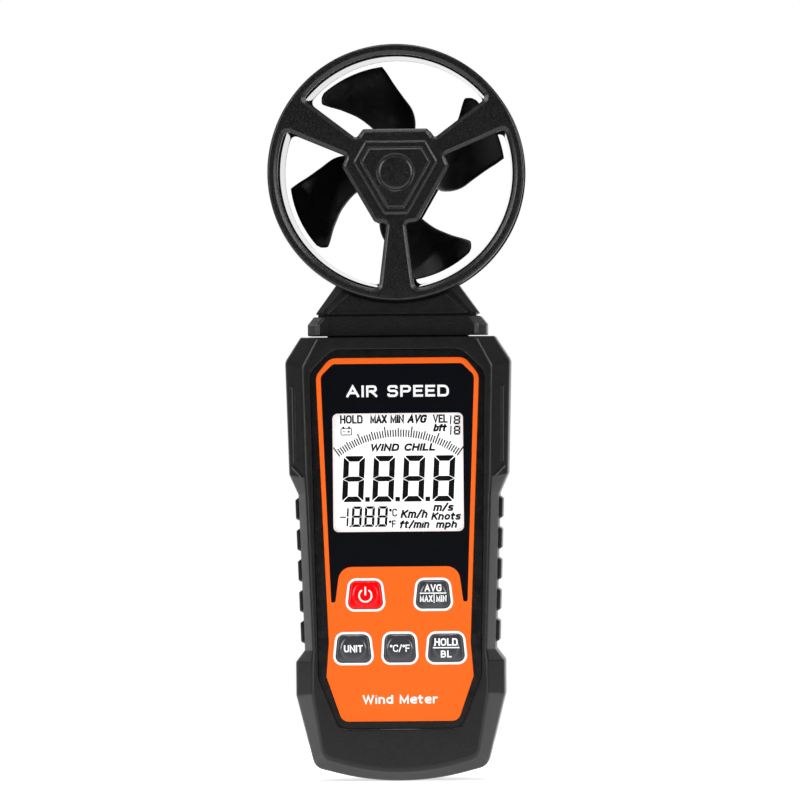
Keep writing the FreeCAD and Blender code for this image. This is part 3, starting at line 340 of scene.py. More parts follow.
# For each letter its width and its strokes, on a grid where a capital is 1 high
LETTERS = {
    " ": (0.22, []),
    "A": (0.76, [[(0, 0), (0.38, 1), (0.76, 0)], [(0.14, 0.32), (0.62, 0.32)]]),
    "B": (0.62, [[(0, 0), (0, 1), (0.57, 1, 0.24), (0.57, 0.53, 0.22), (0.2, 0.53)],
                 [(0, 0.53), (0.62, 0.53, 0.25), (0.62, 0, 0.25), (0, 0)]]),
    "C": (0.66, [[(0.66, 0.28), (0.66, 0, 0.3), (0, 0, 0.34), (0, 1, 0.34), (0.66, 1, 0.3),
                  (0.66, 0.72)]]),
    "D": (0.66, [[(0, 0), (0, 1), (0.66, 1, 0.36), (0.66, 0, 0.36), (0.2, 0)]]),
    "E": (0.54, [[(0.54, 0), (0, 0), (0, 1), (0.54, 1)], [(0, 0.52), (0.48, 0.52)]]),
    "F": (0.52, [[(0, 0), (0, 1), (0.52, 1)], [(0, 0.5), (0.46, 0.5)]]),
    "G": (0.7, [[(0.42, 0.48), (0.7, 0.48), (0.7, 0, 0.3), (0, 0, 0.34), (0, 1, 0.34),
                 (0.7, 1, 0.3), (0.7, 0.74)]]),
    "H": (0.64, [POST, [(0.64, 0), (0.64, 1)], [(0, 0.52), (0.64, 0.52)]]),
    "I": (0.0, [POST]),
    "K": (0.62, [POST, [(0.6, 1), (0, 0.4)], [(0.2, 0.6), (0.62, 0)]]),
    "L": (0.5, [[(0, 1), (0, 0), (0.5, 0)]]),
    "M": (0.8, [[(0, 0), (0, 1), (0.4, 0.1), (0.8, 1), (0.8, 0)]]),
    "N": (0.64, [[(0, 0), (0, 1), (0.64, 0), (0.64, 1)]]),
    "O": (0.72, [[(0, 0, 0.34), (0.72, 0, 0.34), (0.72, 1, 0.34), (0, 1, 0.34), "closed"]]),
    "P": (0.6, [[(0, 0), (0, 1), (0.6, 1, 0.26), (0.6, 0.46, 0.26), (0.2, 0.46)]]),
    "R": (0.64, [[(0, 0), (0, 1), (0.6, 1, 0.25), (0.6, 0.48, 0.25), (0.2, 0.48)],
                 [(0.28, 0.48), (0.64, 0)]]),
    "S": (0.6, [[(0.58, 0.76), (0.58, 1, 0.24), (0, 1, 0.25), (0, 0.52, 0.24),
                 (0.6, 0.52, 0.24), (0.6, 0, 0.25), (0, 0, 0.24), (0, 0.24)]]),
    "T": (0.62, [[(0.31, 0), (0.31, 1)], [(0, 1), (0.62, 1)]]),
    "U": (0.64, [[(0, 1), (0, 0, 0.32), (0.64, 0, 0.32), (0.64, 1)]]),
    "V": (0.7, [[(0, 1), (0.35, 0), (0.7, 1)]]),
    "W": (1.04, [[(0, 1), (0.26, 0), (0.52, 0.95), (0.78, 0), (1.04, 1)]]),
    "X": (0.66, [[(0, 0), (0.66, 1)], [(0, 1), (0.66, 0)]]),
    "b": (0.54, [POST, BOWL]),
    "d": (0.54, [[(0.54, 0), (0.54, 1)], BOWL]),
    "e": (0.54, [[(0.06, 0.37), (0.48, 0.37)],
                 [(0.54, 0.4), (0.54, 0.72, 0.26), (0, 0.72, 0.27), (0, 0, 0.27),
                  (0.54, 0, 0.2), (0.54, 0.12)]]),
    "f": (0.34, [[(0.1, 0), (0.1, 1, 0.16), (0.36, 1)], [(-0.06, 0.7), (0.32, 0.7)]]),
    "h": (0.5, [POST, ARCH]),
    "i": (0.0, [[(0, 0), (0, 0.62)], [(0, 0.96), (0, 1.06)]]),
    "m": (0.84, [STEM, [(0, 0.4), (0, 0.72, 0.2), (0.42, 0.72, 0.2), (0.42, 0)],
                 [(0.42, 0.4), (0.42, 0.72, 0.2), (0.84, 0.72, 0.2), (0.84, 0)]]),
    "n": (0.5, [STEM, ARCH]),
    "o": (0.54, [BOWL]),
    "p": (0.54, [[(0, -0.3), (0, 0.72)], BOWL]),
    "r": (0.32, [STEM, [(0, 0.36), (0, 0.72, 0.2), (0.34, 0.72)]]),
    "s": (0.46, [[(0.45, 0.58), (0.45, 0.72, 0.14), (0, 0.72, 0.18), (0, 0.37, 0.17),
                  (0.46, 0.37, 0.17), (0.46, 0, 0.18), (0, 0, 0.14), (0, 0.14)]]),
    "t": (0.34, [[(0.1, 0.95), (0.1, 0, 0.16), (0.36, 0)], [(-0.06, 0.7), (0.32, 0.7)]]),
    "/": (0.36, [[(0, -0.05), (0.36, 1.05)]]),
    "°": (0.24, [[(0, 0.74, 0.12), (0.24, 0.74, 0.12), (0.24, 1, 0.12), (0, 1, 0.12), "closed"]]),
}


# ---------------------------------------------------------------- building pieces

class Solid:
    """Points and faces gathered for one piece. A mark is a face's place in the material list."""

    def __init__(self):
        self.points = []
        self.faces = []
        self.marks = []

    def add(self, points, faces, mark=0):
        first = len(self.points)
        self.points.extend(points)
        self.faces.extend([tuple(first + i for i in face) for face in faces])
        self.marks.extend(mark if isinstance(mark, list) else [mark] * len(faces))

    def skin(self, rings, wrap=False, mark=0, caps=False):
        """Quads between matched closed rings, with flat ends if caps is true. A list of marks
        has one for each band of quads."""
        count = len(rings[0])
        faces = []
        for r in range(len(rings) if wrap else len(rings) - 1):
            near, far = r * count, (r + 1) % len(rings) * count
            for i in range(count):
                j = (i + 1) % count
                faces.append((near + i, near + j, far + j, far + i))
        if isinstance(mark, list):
            mark = [m for m in mark for _ in range(count)] + [mark[0], mark[-1]] * caps
        if caps:
            last = (len(rings) - 1) * count
            faces.append(tuple(range(count)))
            faces.append(tuple(range(last, last + count)))
        self.add([point for ring in rings for point in ring], faces, mark)

    def lid(self, y, outer, holes=(), seams=(), mark=lambda x, z: 0):
        """A flat face at depth y between an outline and its holes. Seams part its regions."""
        spots, edges = [], []
        for loop in [outer, *holes, *seams]:
            first = len(spots)
            spots.extend(Vector(p[:2]) for p in loop)
            edges.extend((first + i, first + (i + 1) % len(loop)) for i in range(len(loop)))
        corners, _, triangles, *_ = delaunay_2d_cdt(spots, edges, [], 0, 1e-5)
        for triangle in triangles:
            middle = sum((corners[i] for i in triangle), Vector((0, 0))) / len(triangle)
            if not inside(*middle, outer) or any(inside(*middle, hole) for hole in holes):
                continue
            self.add([(corners[i].x, y, corners[i].y) for i in triangle],
                     [tuple(range(len(triangle)))], mark(*middle))

    def prism(self, corners, front, back, mark=0):
        """A flat shape with square edges."""
        outline = rounded(corners)
        self.skin([at_depth(outline, front), at_depth(outline, back)], mark=mark, caps=True)

    def lathe(self, profile, count=192):
        """A closed profile (along, radius) turned about the ring's axis."""
        rings = []
        for k in range(count):
            turn = 2 * math.pi * k / count
            across, up = math.cos(turn), math.sin(turn)
            rings.append([(r * across, along, RING_Z + r * up) for along, r in profile])
        self.skin(rings, wrap=True)

    def pit(self, outline, top, floor, mark=0):
        """The walls and floor of a hole sunk along Y."""
        self.skin([at_depth(outline, top), at_depth(outline, floor)], mark=mark)
        self.lid(floor, outline, mark=lambda x, z: mark)

    def stroke(self, path, width, front, back, mark=0):
        """A ribbon of even width along an open path of points (x, z). It sinks back a little along
    the path, so that a path which crosses itself has no faces in one plane."""
        sides = ([], [])
        for i, here in enumerate(path):
            before = (here - path[i - 1]).normalized() if i else None
            after = (path[i + 1] - here).normalized() if i + 1 < len(path) else None
            way = ((before or after) + (after or before)).normalized()
            reach = width / 2 / max(way.dot(after or before), 0.45)
            for side, sign in zip(sides, (1, -1)):
                side.append(here + Vector((-way.y, way.x)) * sign * reach)
        count = len(path)
        slope = 0.002 / count
        points = [(p.x, y + slope * k, p.y) for y in (front, back) for side in sides
                  for k, p in enumerate(side)]
        faces = []
        for i in range(count - 1):
            left, right, deep = i, count + i, 2 * count
            faces += [(left, left + 1, right + 1, right),
                      (left + deep, left + 1 + deep, right + 1 + deep, right + deep),
                      (left, left + 1, left + 1 + deep, left + deep),
                      (right, right + 1, right + 1 + deep, right + deep)]
        for i in (0, count - 1):
            faces.append((i, i + count, i + 3 * count, i + 2 * count))
        self.add(points, faces, mark)

    def letters(self, words, box, front, back, lean=0.0, width=0.3, mark=0, space=0.34):
        """Plain lettering drawn with even strokes, in a box (left, low, right, high). Strokes
        that overlap lie on separate layers."""
        left, low, right, high = box
        tall = high - low
        pen, drawn = 0.0, []
        for letter in words:
            wide, paths = LETTERS[letter]
            drawn += [(pen, path) for path in paths]
            pen += wide + space
        stretch = (right - left - width - lean * tall) / (pen - space)
        for k, (start, path) in enumerate(drawn):
            closed = path[-1] == "closed"
            corners = [(left + width / 2 + (start + c[0]) * stretch, low + width / 2
                        + c[1] * (tall - width), *[r * min(stretch, tall) for r in c[2:]])
                       for c in (path[:-1] if closed else path)]
            line = rounded(corners, closed)
            if closed:
                line = line + line[:2]
            for tip, inner, end, near in ((0, 1, path[0], path[1]), (-1, -2, path[-1], path[-2])):
                if not closed and math.dist(end[:2], near[:2]) > HOOK:
                    line[tip] += (line[tip] - line[inner]).normalized() * width * 0.5
            layer = 0.004 * (k % 4)
            self.stroke([Vector((p.x + lean * (p.y - low), p.y)) for p in line],
                        width, front - layer, back - layer, mark)


def make(name, solid, body, finishes, stands_for=(), sharp=32.0, weighted=True):
    """Turn a solid into a named piece that moves with a CAD body and hides what it stands for."""
    mesh = bpy.data.meshes.new(name)
    mesh.from_pydata([Vector(point) * MM for point in solid.points], [], solid.faces)
    mesh.polygons.foreach_set("material_index", solid.marks)
    grid = bmesh.new()
    grid.from_mesh(mesh)
    bmesh.ops.remove_doubles(grid, verts=grid.verts, dist=0.001 * MM)
    bmesh.ops.recalc_face_normals(grid, faces=grid.faces)
    grid.to_mesh(mesh)
    grid.free()
    mesh.shade_smooth()
    mesh.set_sharp_from_angle(angle=math.radians(sharp))
    for finish in finishes:
        mesh.materials.append(finish)
    piece = bpy.data.objects.new(name, mesh)
    bpy.context.collection.objects.link(piece)
    if weighted:
        modifier = piece.modifiers.new("even_normals", "WEIGHTED_NORMAL")
        modifier.keep_sharp = True
    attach(piece, body)
    if stands_for:
        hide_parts(*stands_for)
    return piece


# ---------------------------------------------------------------- rubber boot

FOOT_STEPS = 28


# The boot's outline at its sides, and round its flat face inside the facets
SIDE_OUTLINE = mirrored([
    (0.0, -2.056, 61.8, FOOT_STEPS), (20.65, 3.3, 3.0), (25.0, 20.6, 2.5), (25.0, 28.6, 1.0),
    (22.85, 31.4, 0.6), (24.05, 68.6, 0.6), (26.2, 73.4, 1.0), (26.95, 100.4, 2.5),
    (23.2, 106.2, 0.5)])
FACE_OUTLINE = mirrored([
    (0.0, 0.544, 49.0, FOOT_STEPS), (18.45, 5.7, 3.0), (20.9, 21.0, 2.5), (20.9, 28.6, 1.0),
    (20.65, 31.4, 0.6), (21.95, 68.6, 0.6), (22.1, 73.4, 1.0), (22.65, 99.2, 2.5),
    (19.0, 106.0, 0.5)])
FACE_DEPTH, SIDE_DEPTH = 16.0, 10.5
RIB_COUNT, RIB_LOW, RIB_STEP, RIB_HEIGHT = 5, 32.7, 7.35, 6.2


def boot_window(low, foot):
    return mirrored([
        (0.0, low, 9.0, FOOT_STEPS), (foot, low, 3.0), (19.5, low + 12.2, 3.0),
        (19.56, 28.6, 0.6), (19.6, 32.4, 0.6), (20.32, 68.6, 0.6), (20.42, 73.4, 0.6),
        (20.9, 97.8, 3.6), (15.3, 103.2, 4.2)])


def boot_half(facing, low, foot):
    """Rings from the inside of one window, round its lip and over the facet to the side."""
    window = boot_window(low, foot)
    rings = [(grown(SIDE_OUTLINE, -1.8), 9.0), (grown(FACE_OUTLINE, -2.2), 14.2),
             (window, 14.2), (window, FACE_DEPTH), (FACE_OUTLINE, FACE_DEPTH),
             (SIDE_OUTLINE, SIDE_DEPTH)]
    return [ring_of(outline, facing * depth) for outline, depth in rings]


def half_width(corners, up):
    """Half width of an outline at a height, on the straight lines between its corners."""
    half = [c for c in corners if c[0] > 0]
    for low, high in zip(half, half[1:]):
        if low[1] <= up <= high[1]:
            return low[0] + (high[0] - low[0]) * (up - low[1]) / (high[1] - low[1])


def facet_ridge(solid, facing, side, path, width, height=0.2):
    """A low rib along a path (x, z) on the boot's slanted facet."""
    rings = []
    for i, (x, z) in enumerate(path):
        ahead = Vector(path[min(i + 1, len(path) - 1)]) - Vector(path[max(i - 1, 0)])
        sideways = Vector((-ahead.y, ahead.x)).normalized() * width / 2
        ring = []
        for share, lift in ((-1.0, -0.02), (-0.25, height), (0.25, height), (1.0, -0.02)):
            px, pz = x + share * sideways.x, z + share * sideways.y
            inner, outer = half_width(FACE_OUTLINE, pz), half_width(SIDE_OUTLINE, pz)
            fall = FACE_DEPTH - SIDE_DEPTH
            y = FACE_DEPTH - fall * (px - inner) / (outer - inner)
            out = Vector((fall, outer - inner)).normalized() * lift
            ring.append((side * (px + out.x), facing * (y + out.y), pz))
        rings.append(ring)
    solid.skin(rings, caps=True)


def build_boot():
    boot = Solid()
    front = boot_half(-1, 12.55, 14.6)
    back = boot_half(1, 6.7, 16.8)
    reaches = [0.0, 0.3, 0.3, 0.55, 0.9, 0.8]
    boot.skin(softened(front + back[::-1], reaches + reaches[::-1], wrap=True), wrap=True)
    for side in (-1, 1):
        for k in range(RIB_COUNT):
            low = RIB_LOW + RIB_STEP * k
            high = low + RIB_HEIGHT
            corners = [(half_width(SIDE_OUTLINE, up) + out, up, radius) for up, out, radius in (
                (low, -0.5, 0.0), (low + 0.7, 0.85, 0.4), (high - 1.0, 0.85, 0.4),
                (high, -0.5, 0.0))]
            rings = []
            for y, shrink in ((-9.5, 0.45), (-9.0, 0.0), (9.0, 0.0), (9.5, 0.45)):
                outline = rounded(grown(corners, -shrink))
                rings.append([(side * p.x, y, p.y) for p in outline])
            boot.skin(softened(rings, [0, 0.3, 0.3, 0]), caps=True)
        for facing in (-1, 1):
            facet_ridge(boot, facing, side, [(25.6, 94.5), (24.95, 94.2), (24.75, 76.2)], 0.9)
            facet_ridge(boot, facing, side, [(25.25, 75.3), (22.95, 72.9)], 1.1)
    make("boot_cover", boot, "case", [RUBBER], ["rubber_boot"])


# ---------------------------------------------------------------- label, display and keys

KEYS = {
    "power_key": (-8.1, 44.55, 3.5, 4.25),
    "average_key": (8.1, 44.55, 3.5, 4.25),
    "unit_key": (-11.1, 31.75, 3.6, 4.35),
    "temperature_key": (0.0, 31.75, 3.45, 3.85),
    "hold_key": (11.1, 31.75, 3.8, 4.45),
}
KEY_HEIGHT = 6.6
KEY_CORNER_STEPS = 8
DISPLAY_LIFT = 0.3
LABEL_Y = -14.9


def key_outline(key):
    across, up, top, bottom = KEYS[key]
    low, high = up - KEY_HEIGHT / 2, up + KEY_HEIGHT / 2
    return [(*corner, 1.5, KEY_CORNER_STEPS) for corner in (
        (across - bottom, low), (across + bottom, low), (across + top, high), (across - top, high))]


def build_label():
    outer = mirrored([(13.9, 14.25, 2.2), (17.65, 25.05, 1.5), (17.0, 33.2, 0.6),
                      (19.55, 97.0, 3.4), (16.2, 101.2, 3.2)])
    dark = rounded(mirrored([(0.0, 51.25), (14.15, 51.25, 3.2), (15.3, 42.8, 0.4),
                             (16.3, 42.8, 0.4), (18.35, 96.9, 2.0), (15.4, 99.75, 1.4)]))
    window = rounded(rectangle(15.6, 59.6, 87.9, 1.2))
    holes = [window] + [rounded(grown(key_outline(key), 0.12)) for key in KEYS]
    rims = [rounded(grown(key_outline(key), 0.68)) for key in KEYS]

    def region(x, z):
        if any(inside(x, z, rim) for rim in rims):
            return 2
        return 1 if inside(x, z, dark) else 0

    label = Solid()
    edge = 0.12
    top = rounded(grown(outer, -edge))
    label.lid(LABEL_Y, top, holes, [dark, *rims], region)
    label.skin([at_depth(top, LABEL_Y), ring_of(outer, LABEL_Y + edge),
                ring_of(outer, LABEL_Y + 0.4)])
    label.lid(LABEL_Y + 0.4, rounded(outer), holes)
    for hole, mark in zip(holes, [1] + [2] * len(KEYS)):
        label.skin([at_depth(hole, LABEL_Y), at_depth(hole, LABEL_Y + 0.4)], mark=mark)
    for words, box, width in (("Wind Meter", (-9.0, 18.5, 8.9, 20.6), 0.42),
                              ("AIR SPEED", (-12.2, 91.8, 12.3, 94.6), 0.56)):
        label.letters(words, box, LABEL_Y - 0.02, LABEL_Y + 0.1, width=width, mark=2)
    make("label_print", label, "case", [ORANGE, BLACK, WHITE], ["label_panel"],
         weighted=False)


def bar(solid, left, low, right, high, front, back, lean=0.0, mark=0):
    shift = lean * (high - low)
    solid.prism([(left, low), (right, low), (right + shift, high), (left + shift, high)],
                front, back, mark)


def key_marks(solid, key, front, back):
    x, z = KEYS[key][:2]

    def word(text, left, low, right, high, width, space=0.34):
        solid.letters(text, (x + left, z + low, x + right, z + high), front, back,
                      width=width, mark=1, space=space)

    def line(left, low, right, high):
        bar(solid, x + left, z + low, x + right, z + high, front, back, mark=1)

    if key == "power_key":
        turns = [math.radians(122 + 296 * k / 28) for k in range(29)]
        ring = [(x + r * math.cos(t), z - 0.15 + r * math.sin(t))
                for r, order in ((1.68, turns), (1.3, turns[::-1])) for t in order]
        solid.skin([at_depth(ring, front), at_depth(ring, back)], mark=1, caps=True)
        line(-0.19, -0.1, 0.19, 1.95)
    elif key == "average_key":
        word("AVG", -2.05, 0.68, 2.0, 2.4, 0.34)
        line(-3.2, 0.16, 3.15, 0.44)
        line(0.1, -2.05, 0.32, 0.2)
        word("MAX", -3.2, -1.78, -0.15, -0.2, 0.29, 0.44)
        word("MIN", 0.72, -1.78, 3.2, -0.2, 0.29, 0.44)
    elif key == "unit_key":
        word("UNIT", -2.25, -0.88, 2.3, 0.84, 0.36)
    elif key == "temperature_key":
        word("°C/°F", -2.35, -0.85, 2.4, 0.85, 0.26, 0.26)
    else:
        word("HOLD", -2.8, 0.5, 2.75, 2.3, 0.36)
        line(-3.2, -0.1, 3.15, 0.18)
        word("BL", -1.3, -2.3, 1.3, -0.6, 0.34, 0.4)


def build_key(key):
    """A cap with rounded shoulders and a low round dome, and its mark printed on it."""
    x, z = KEYS[key][:2]
    foot, wall, top = (divided(rounded(grown(key_outline(key), g)), 8, KEY_CORNER_STEPS + 1)
                       for g in (0.6, 0.0, -0.35))

    def dome(radius, y):
        return at_depth(circle_facing(wall, x, z, radius), y)

    cap = Solid()
    rings = [at_depth(foot, -12.0), at_depth(foot, -12.55), at_depth(wall, -12.6),
             at_depth(wall, -14.95), at_depth(top, -15.22), dome(3.12, -15.24), dome(2.72, -15.46),
             dome(2.3, -15.5), dome(0.9, -15.53)]
    cap.skin(softened(rings, [0, 0.1, 0.05, 0.15, 0.2, 0.08, 0.12, 0, 0]), caps=True)
    key_marks(cap, key, -15.58, -15.2)
    finish, slot = (RED_KEY, "red_key") if key == "power_key" else (GREY_KEY, "grey_key")
    make(key + "_cap", cap, key, [finish, WHITE], [key], sharp=40, weighted=False)


def digit(solid, middle, low, high, width, thick, lean, front, back, gap=0.12):
    """The seven bars of one display digit, all on, with mitred joints and cut corners."""
    half = width / 2
    up = (high + low) / 2
    inner, notch = half - thick, thick * 0.3

    def lean_on(points):
        return [(middle + x + lean * (z - up), z) for x, z in points]

    for end, sign in ((low, 1), (high, -1)):
        solid.prism(lean_on([(-half + notch + gap, end), (half - notch - gap, end),
                             (half - notch, end + sign * (notch - gap)),
                             (inner - gap, end + sign * thick),
                             (-inner + gap, end + sign * thick),
                             (-half + notch, end + sign * (notch - gap))]), front, back)
    edge = thick * 0.45
    solid.prism(lean_on([(-half + gap, up), (-inner, up - edge), (inner, up - edge),
                         (half - gap, up), (inner, up + edge), (-inner, up + edge)]), front, back)
    for side in (-1, 1):
        for end, sign in ((low, 1), (high, -1)):
            solid.prism(lean_on([(side * half, up - sign * gap), (side * half, end + sign * notch),
                                 (side * (half - notch + gap), end + sign * (notch + gap)),
                                 (side * inner, end + sign * (thick + gap)),
                                 (side * inner, up - sign * (edge + gap))]), front, back)


def build_display():
    """Every segment of the display, lit as in its self test. The heights are written
    DISPLAY_LIFT too low, and are raised at the end."""
    marks = Solid()
    front, back = -13.99, -13.94

    def line(left, low, right, high, lean=0.0):
        bar(marks, left, low, right, high, front, back, lean)

    def digits(middles, low, high, width, thick, lean, gap):
        for middle in middles:
            digit(marks, middle, low, high, width, thick, lean, front, back, gap)

    # Each word's box (left, low, right, high), lean and stroke width
    for words, box, lean, width in (
            ("HOLD", (-13.8, 85.2, -8.4, 87.2), 0.0, 0.38),
            ("MAX", (-6.6, 85.2, -2.6, 87.2), 0.0, 0.44),
            ("MIN", (-1.8, 85.2, 1.5, 87.2), 0.0, 0.44),
            ("AVG", (2.2, 85.2, 7.1, 87.2), 0.22, 0.5),
            ("VEL", (8.4, 85.2, 11.9, 87.2), 0.0, 0.38),
            ("bft", (8.4, 83.15, 11.9, 84.95), 0.25, 0.46),
            ("WIND CHILL", (-6.8, 78.55, 9.2, 80.35), 0.25, 0.46),
            ("°C", (-2.25, 62.9, -0.4, 64.8), 0.0, 0.3),
            ("°F", (-2.35, 60.3, -0.7, 62.0), 0.0, 0.3),
            ("Km/h", (0.4, 62.5, 7.2, 64.5), 0.25, 0.46),
            ("ft/min", (0.1, 60.1, 7.6, 61.95), 0.25, 0.43),
            ("m/s", (8.2, 64.1, 13.4, 66.0), 0.25, 0.46),
            ("Knots", (7.7, 62.0, 15.1, 63.8), 0.25, 0.43),
            ("mph", (8.8, 60.1, 14.2, 61.8), 0.25, 0.43)):
        marks.letters(words, box, front, back, lean, width)

    # The speed, the temperature with its sign and leading one, and two small numbers
    digits((-10.7, -3.5, 3.7, 10.9), 66.45, 77.45, 5.1, 1.32, 0.05, 0.13)
    for left in (-7.95, -0.75, 6.45):
        line(left, 66.5, left + 1.1, 67.6)
    digits((-10.0, -6.95, -3.85), 60.5, 65.4, 2.4, 0.6, 0.06, 0.07)
    for left in (-11.75, -8.7, -5.6):
        line(left, 60.45, left + 0.4, 60.85)
    line(-14.0, 62.7, -12.6, 63.0)
    line(-12.5, 60.7, -12.1, 62.7, 0.06)
    line(-12.4, 63.0, -12.0, 65.0, 0.06)
    for low, high in ((84.8, 86.95), (82.3, 84.5)):
        line(12.45, low, 12.75, high, 0.05)
        digits((14.15,), low, high, 1.6, 0.45, 0.05, 0.05)

    # The battery sign: a frame, two terminals, a minus and a plus
    corners = [(*c[:2], 0.3) for c in rectangle(1.375, 82.4, 84.1, middle=-12.325)]
    inner = [(*c[:2], 0.1) for c in grown(corners, -0.2)]
    marks.skin([ring_of(c, y) for c, y in ((corners, front), (inner, front), (inner, back),
                                           (corners, back))], wrap=True)
    for box in ((-13.25, 84.1, -12.75, 84.5), (-11.9, 84.1, -11.4, 84.5),
                (-13.2, 83.15, -12.6, 83.35), (-12.05, 83.15, -11.45, 83.35),
                (-11.85, 82.95, -11.65, 83.55)):
        line(*box)

    # The scale: an arc of ticks, longer at every fifth and tenth
    centre_z, radius, count, half_tick = 58.2, 23.75, 50, 0.15
    reach = math.asin(14.0 / radius)
    for k in range(count + 1):
        turn = -reach + 2 * reach * k / count
        end = radius + (2.65 if k % 10 == 0 else 2.1 if k % 5 == 0 else 1.75)
        across, up = math.sin(turn), math.cos(turn)
        marks.prism([(0.1 + across * r + side * half_tick * up,
                      centre_z + up * r - side * half_tick * across)
                     for r, side in ((radius, -1), (radius, 1), (end, 1), (end, -1))],
                    front, back)
    marks.points = [(x, y, z + DISPLAY_LIFT) for x, y, z in marks.points]
    make("display_segments", marks, "case", [SEGMENT], weighted=False)


# ---------------------------------------------------------------- wind sensor head

HEAD_SCREW_X, HEAD_SCREW_Z = 15.6, 108.6
NECK_LOW = 111.6


def neck_outline(half, slope, radius):
    """The neck from the groove up to an arc under the drum."""
    top = last_within(NECK_LOW, 122.0, lambda up: math.hypot(
        half - slope * (up - NECK_LOW), RING_Z - up) > radius)
    turn = math.asin((half - slope * (top - NECK_LOW)) / radius)
    arc = []
    for k in range(17):
        t = turn - 2 * turn * k / 16
        arc.append((radius * math.sin(t), RING_Z - radius * math.cos(t), 0.0, 1))
    return [(-half, NECK_LOW, 0.2), (half, NECK_LOW, 0.2)] + arc


def build_head_shell(facing, name, node):
    shell = Solid()

    def block(sections, reaches, holes=(), floor=0.0):
        rings = [ring_of(outline, facing * y) for outline, y in sections]
        shell.skin(softened(rings, reaches))
        shell.lid(facing * sections[0][1], rounded(sections[0][0]))
        shell.lid(facing * sections[-1][1], rounded(sections[-1][0]), holes)
        for hole in holes:
            shell.pit(hole, facing * sections[-1][1], facing * floor)

    def collar(inset):
        half, top = 21.4 - inset, 19.9 - inset
        return [(-half, 106.5, 0.3), (half, 106.5, 0.3), (half, 109.1, 0.5), (top, 111.0, 0.4),
                (-top, 111.0, 0.4), (-half, 109.1, 0.5)]

    sinks, slots = [], []
    if facing > 0:
        sinks = [circle(1.9, 48, side * HEAD_SCREW_X, HEAD_SCREW_Z) for side in (-1, 1)]
        slots = [rounded(rectangle(2.4, low, low + 0.7, 0.3, 9.0)) for low in (112.4, 113.9)]
    block([(grown(collar(0.0), -0.16), 0.06), (collar(0.0), 0.22), (collar(0.0), 11.4),
           (collar(2.0), 12.05), (collar(2.9), 12.6), (grown(collar(2.9), -0.12), 12.6)],
          [0, 0, 0.35, 0.15, 0.1, 0], sinks, 9.5)
    wide, tall = neck_outline(19.7, 0.72, 29.3), neck_outline(19.7, 0.72, 31.2)
    face = neck_outline(16.8, 1.07, 31.2)
    block([(grown(wide, -0.16), 0.06), (wide, 0.22), (wide, 7.4),
           (neck_outline(18.2, 0.88, 29.3), 9.9)], [0, 0, 0.3, 0])
    block([(tall, 5.0), (tall, 7.4), (face, 11.4), (grown(face, -0.4), 11.4)],
          [0, 0.35, 0.34, 0], slots, 10.0)
    shell.prism(rectangle(18.9, 110.9, 112.0), facing * 0.1, facing * 10.6)
    shell.prism(rectangle(16.8, 100.2, 106.8, 0.3), facing * 0.1, facing * 8.4)
    profile = [(0.06, 28.95), (0.06, 30.04), (0.22, 30.2), (10.0, 30.2), (10.0, 28.95)]
    shell.lathe([(facing * y, r) for y, r in profile])
    make(name, shell, "case", [HEAD], [node])


def opening_corners(radius):
    """The top one of the grille's three openings, anticlockwise."""
    lean = math.radians(30)
    tip_half = 4.3
    reach = math.sqrt(radius ** 2 - tip_half ** 2)
    tip = (reach * math.cos(lean) - tip_half * math.sin(lean),
           reach * math.sin(lean) + tip_half * math.cos(lean))
    start = math.atan2(tip[1], tip[0]) + math.radians(6.5)
    arc = []
    for k in range(25):
        turn = start + (math.pi - 2 * start) * k / 24
        arc.append((radius * math.cos(turn), radius * math.sin(turn), 0.0, 1))
    right = [(9.35, 8.15, 0.8), (*tip, 2.4)]
    left = [(-c[0], *c[1:]) for c in reversed(right)]
    return right + arc + left + [(-7.7, 10.4, 0.9), (7.7, 10.4, 0.9)]


def turned(points, degrees):
    """Points given about the wind sensor's axis, turned about it, as an outline."""
    cosine, sine = math.cos(math.radians(degrees)), math.sin(math.radians(degrees))
    return [Vector((p[0] * cosine - p[1] * sine, RING_Z + p[0] * sine + p[1] * cosine))
            for p in points]


def build_guard(facing, name, node, radius):
    """Ring, spokes and hub plate with a broad chamfer round each opening."""
    guard = Solid()
    near, far = 10.05, 13.4
    edge = [(0.0, near), (0.0, far - 0.7), (0.06, far - 0.4), (0.22, far - 0.16), (0.55, far)]
    guard.skin([at_depth(circle(30.7 - inset), facing * y) for inset, y in edge])
    wide, tight = [], []
    for turn in (0, 120, 240):
        shapes = [turned(rounded(grown(opening_corners(radius), g)), turn)
                  for g in (0.0, 0.0, 0.1, 0.82, 0.98)]
        depths = (near, far - 0.62, far - 0.48, far - 0.05, far)
        guard.skin([at_depth(s, facing * y) for s, y in zip(shapes, depths)])
        tight.append(shapes[0])
        wide.append(shapes[-1])
    guard.lid(facing * far, circle(30.15), wide)
    guard.lid(facing * near, circle(30.7), tight)
    guard.lathe([(facing * y, r) for y, r in ((8.5, 2.45), (8.5, 4.2), (8.7, 4.4), (10.1, 4.4),
                                            (10.1, 2.45))], 64)
    make(name, guard, "case", [GRILLE], [node])


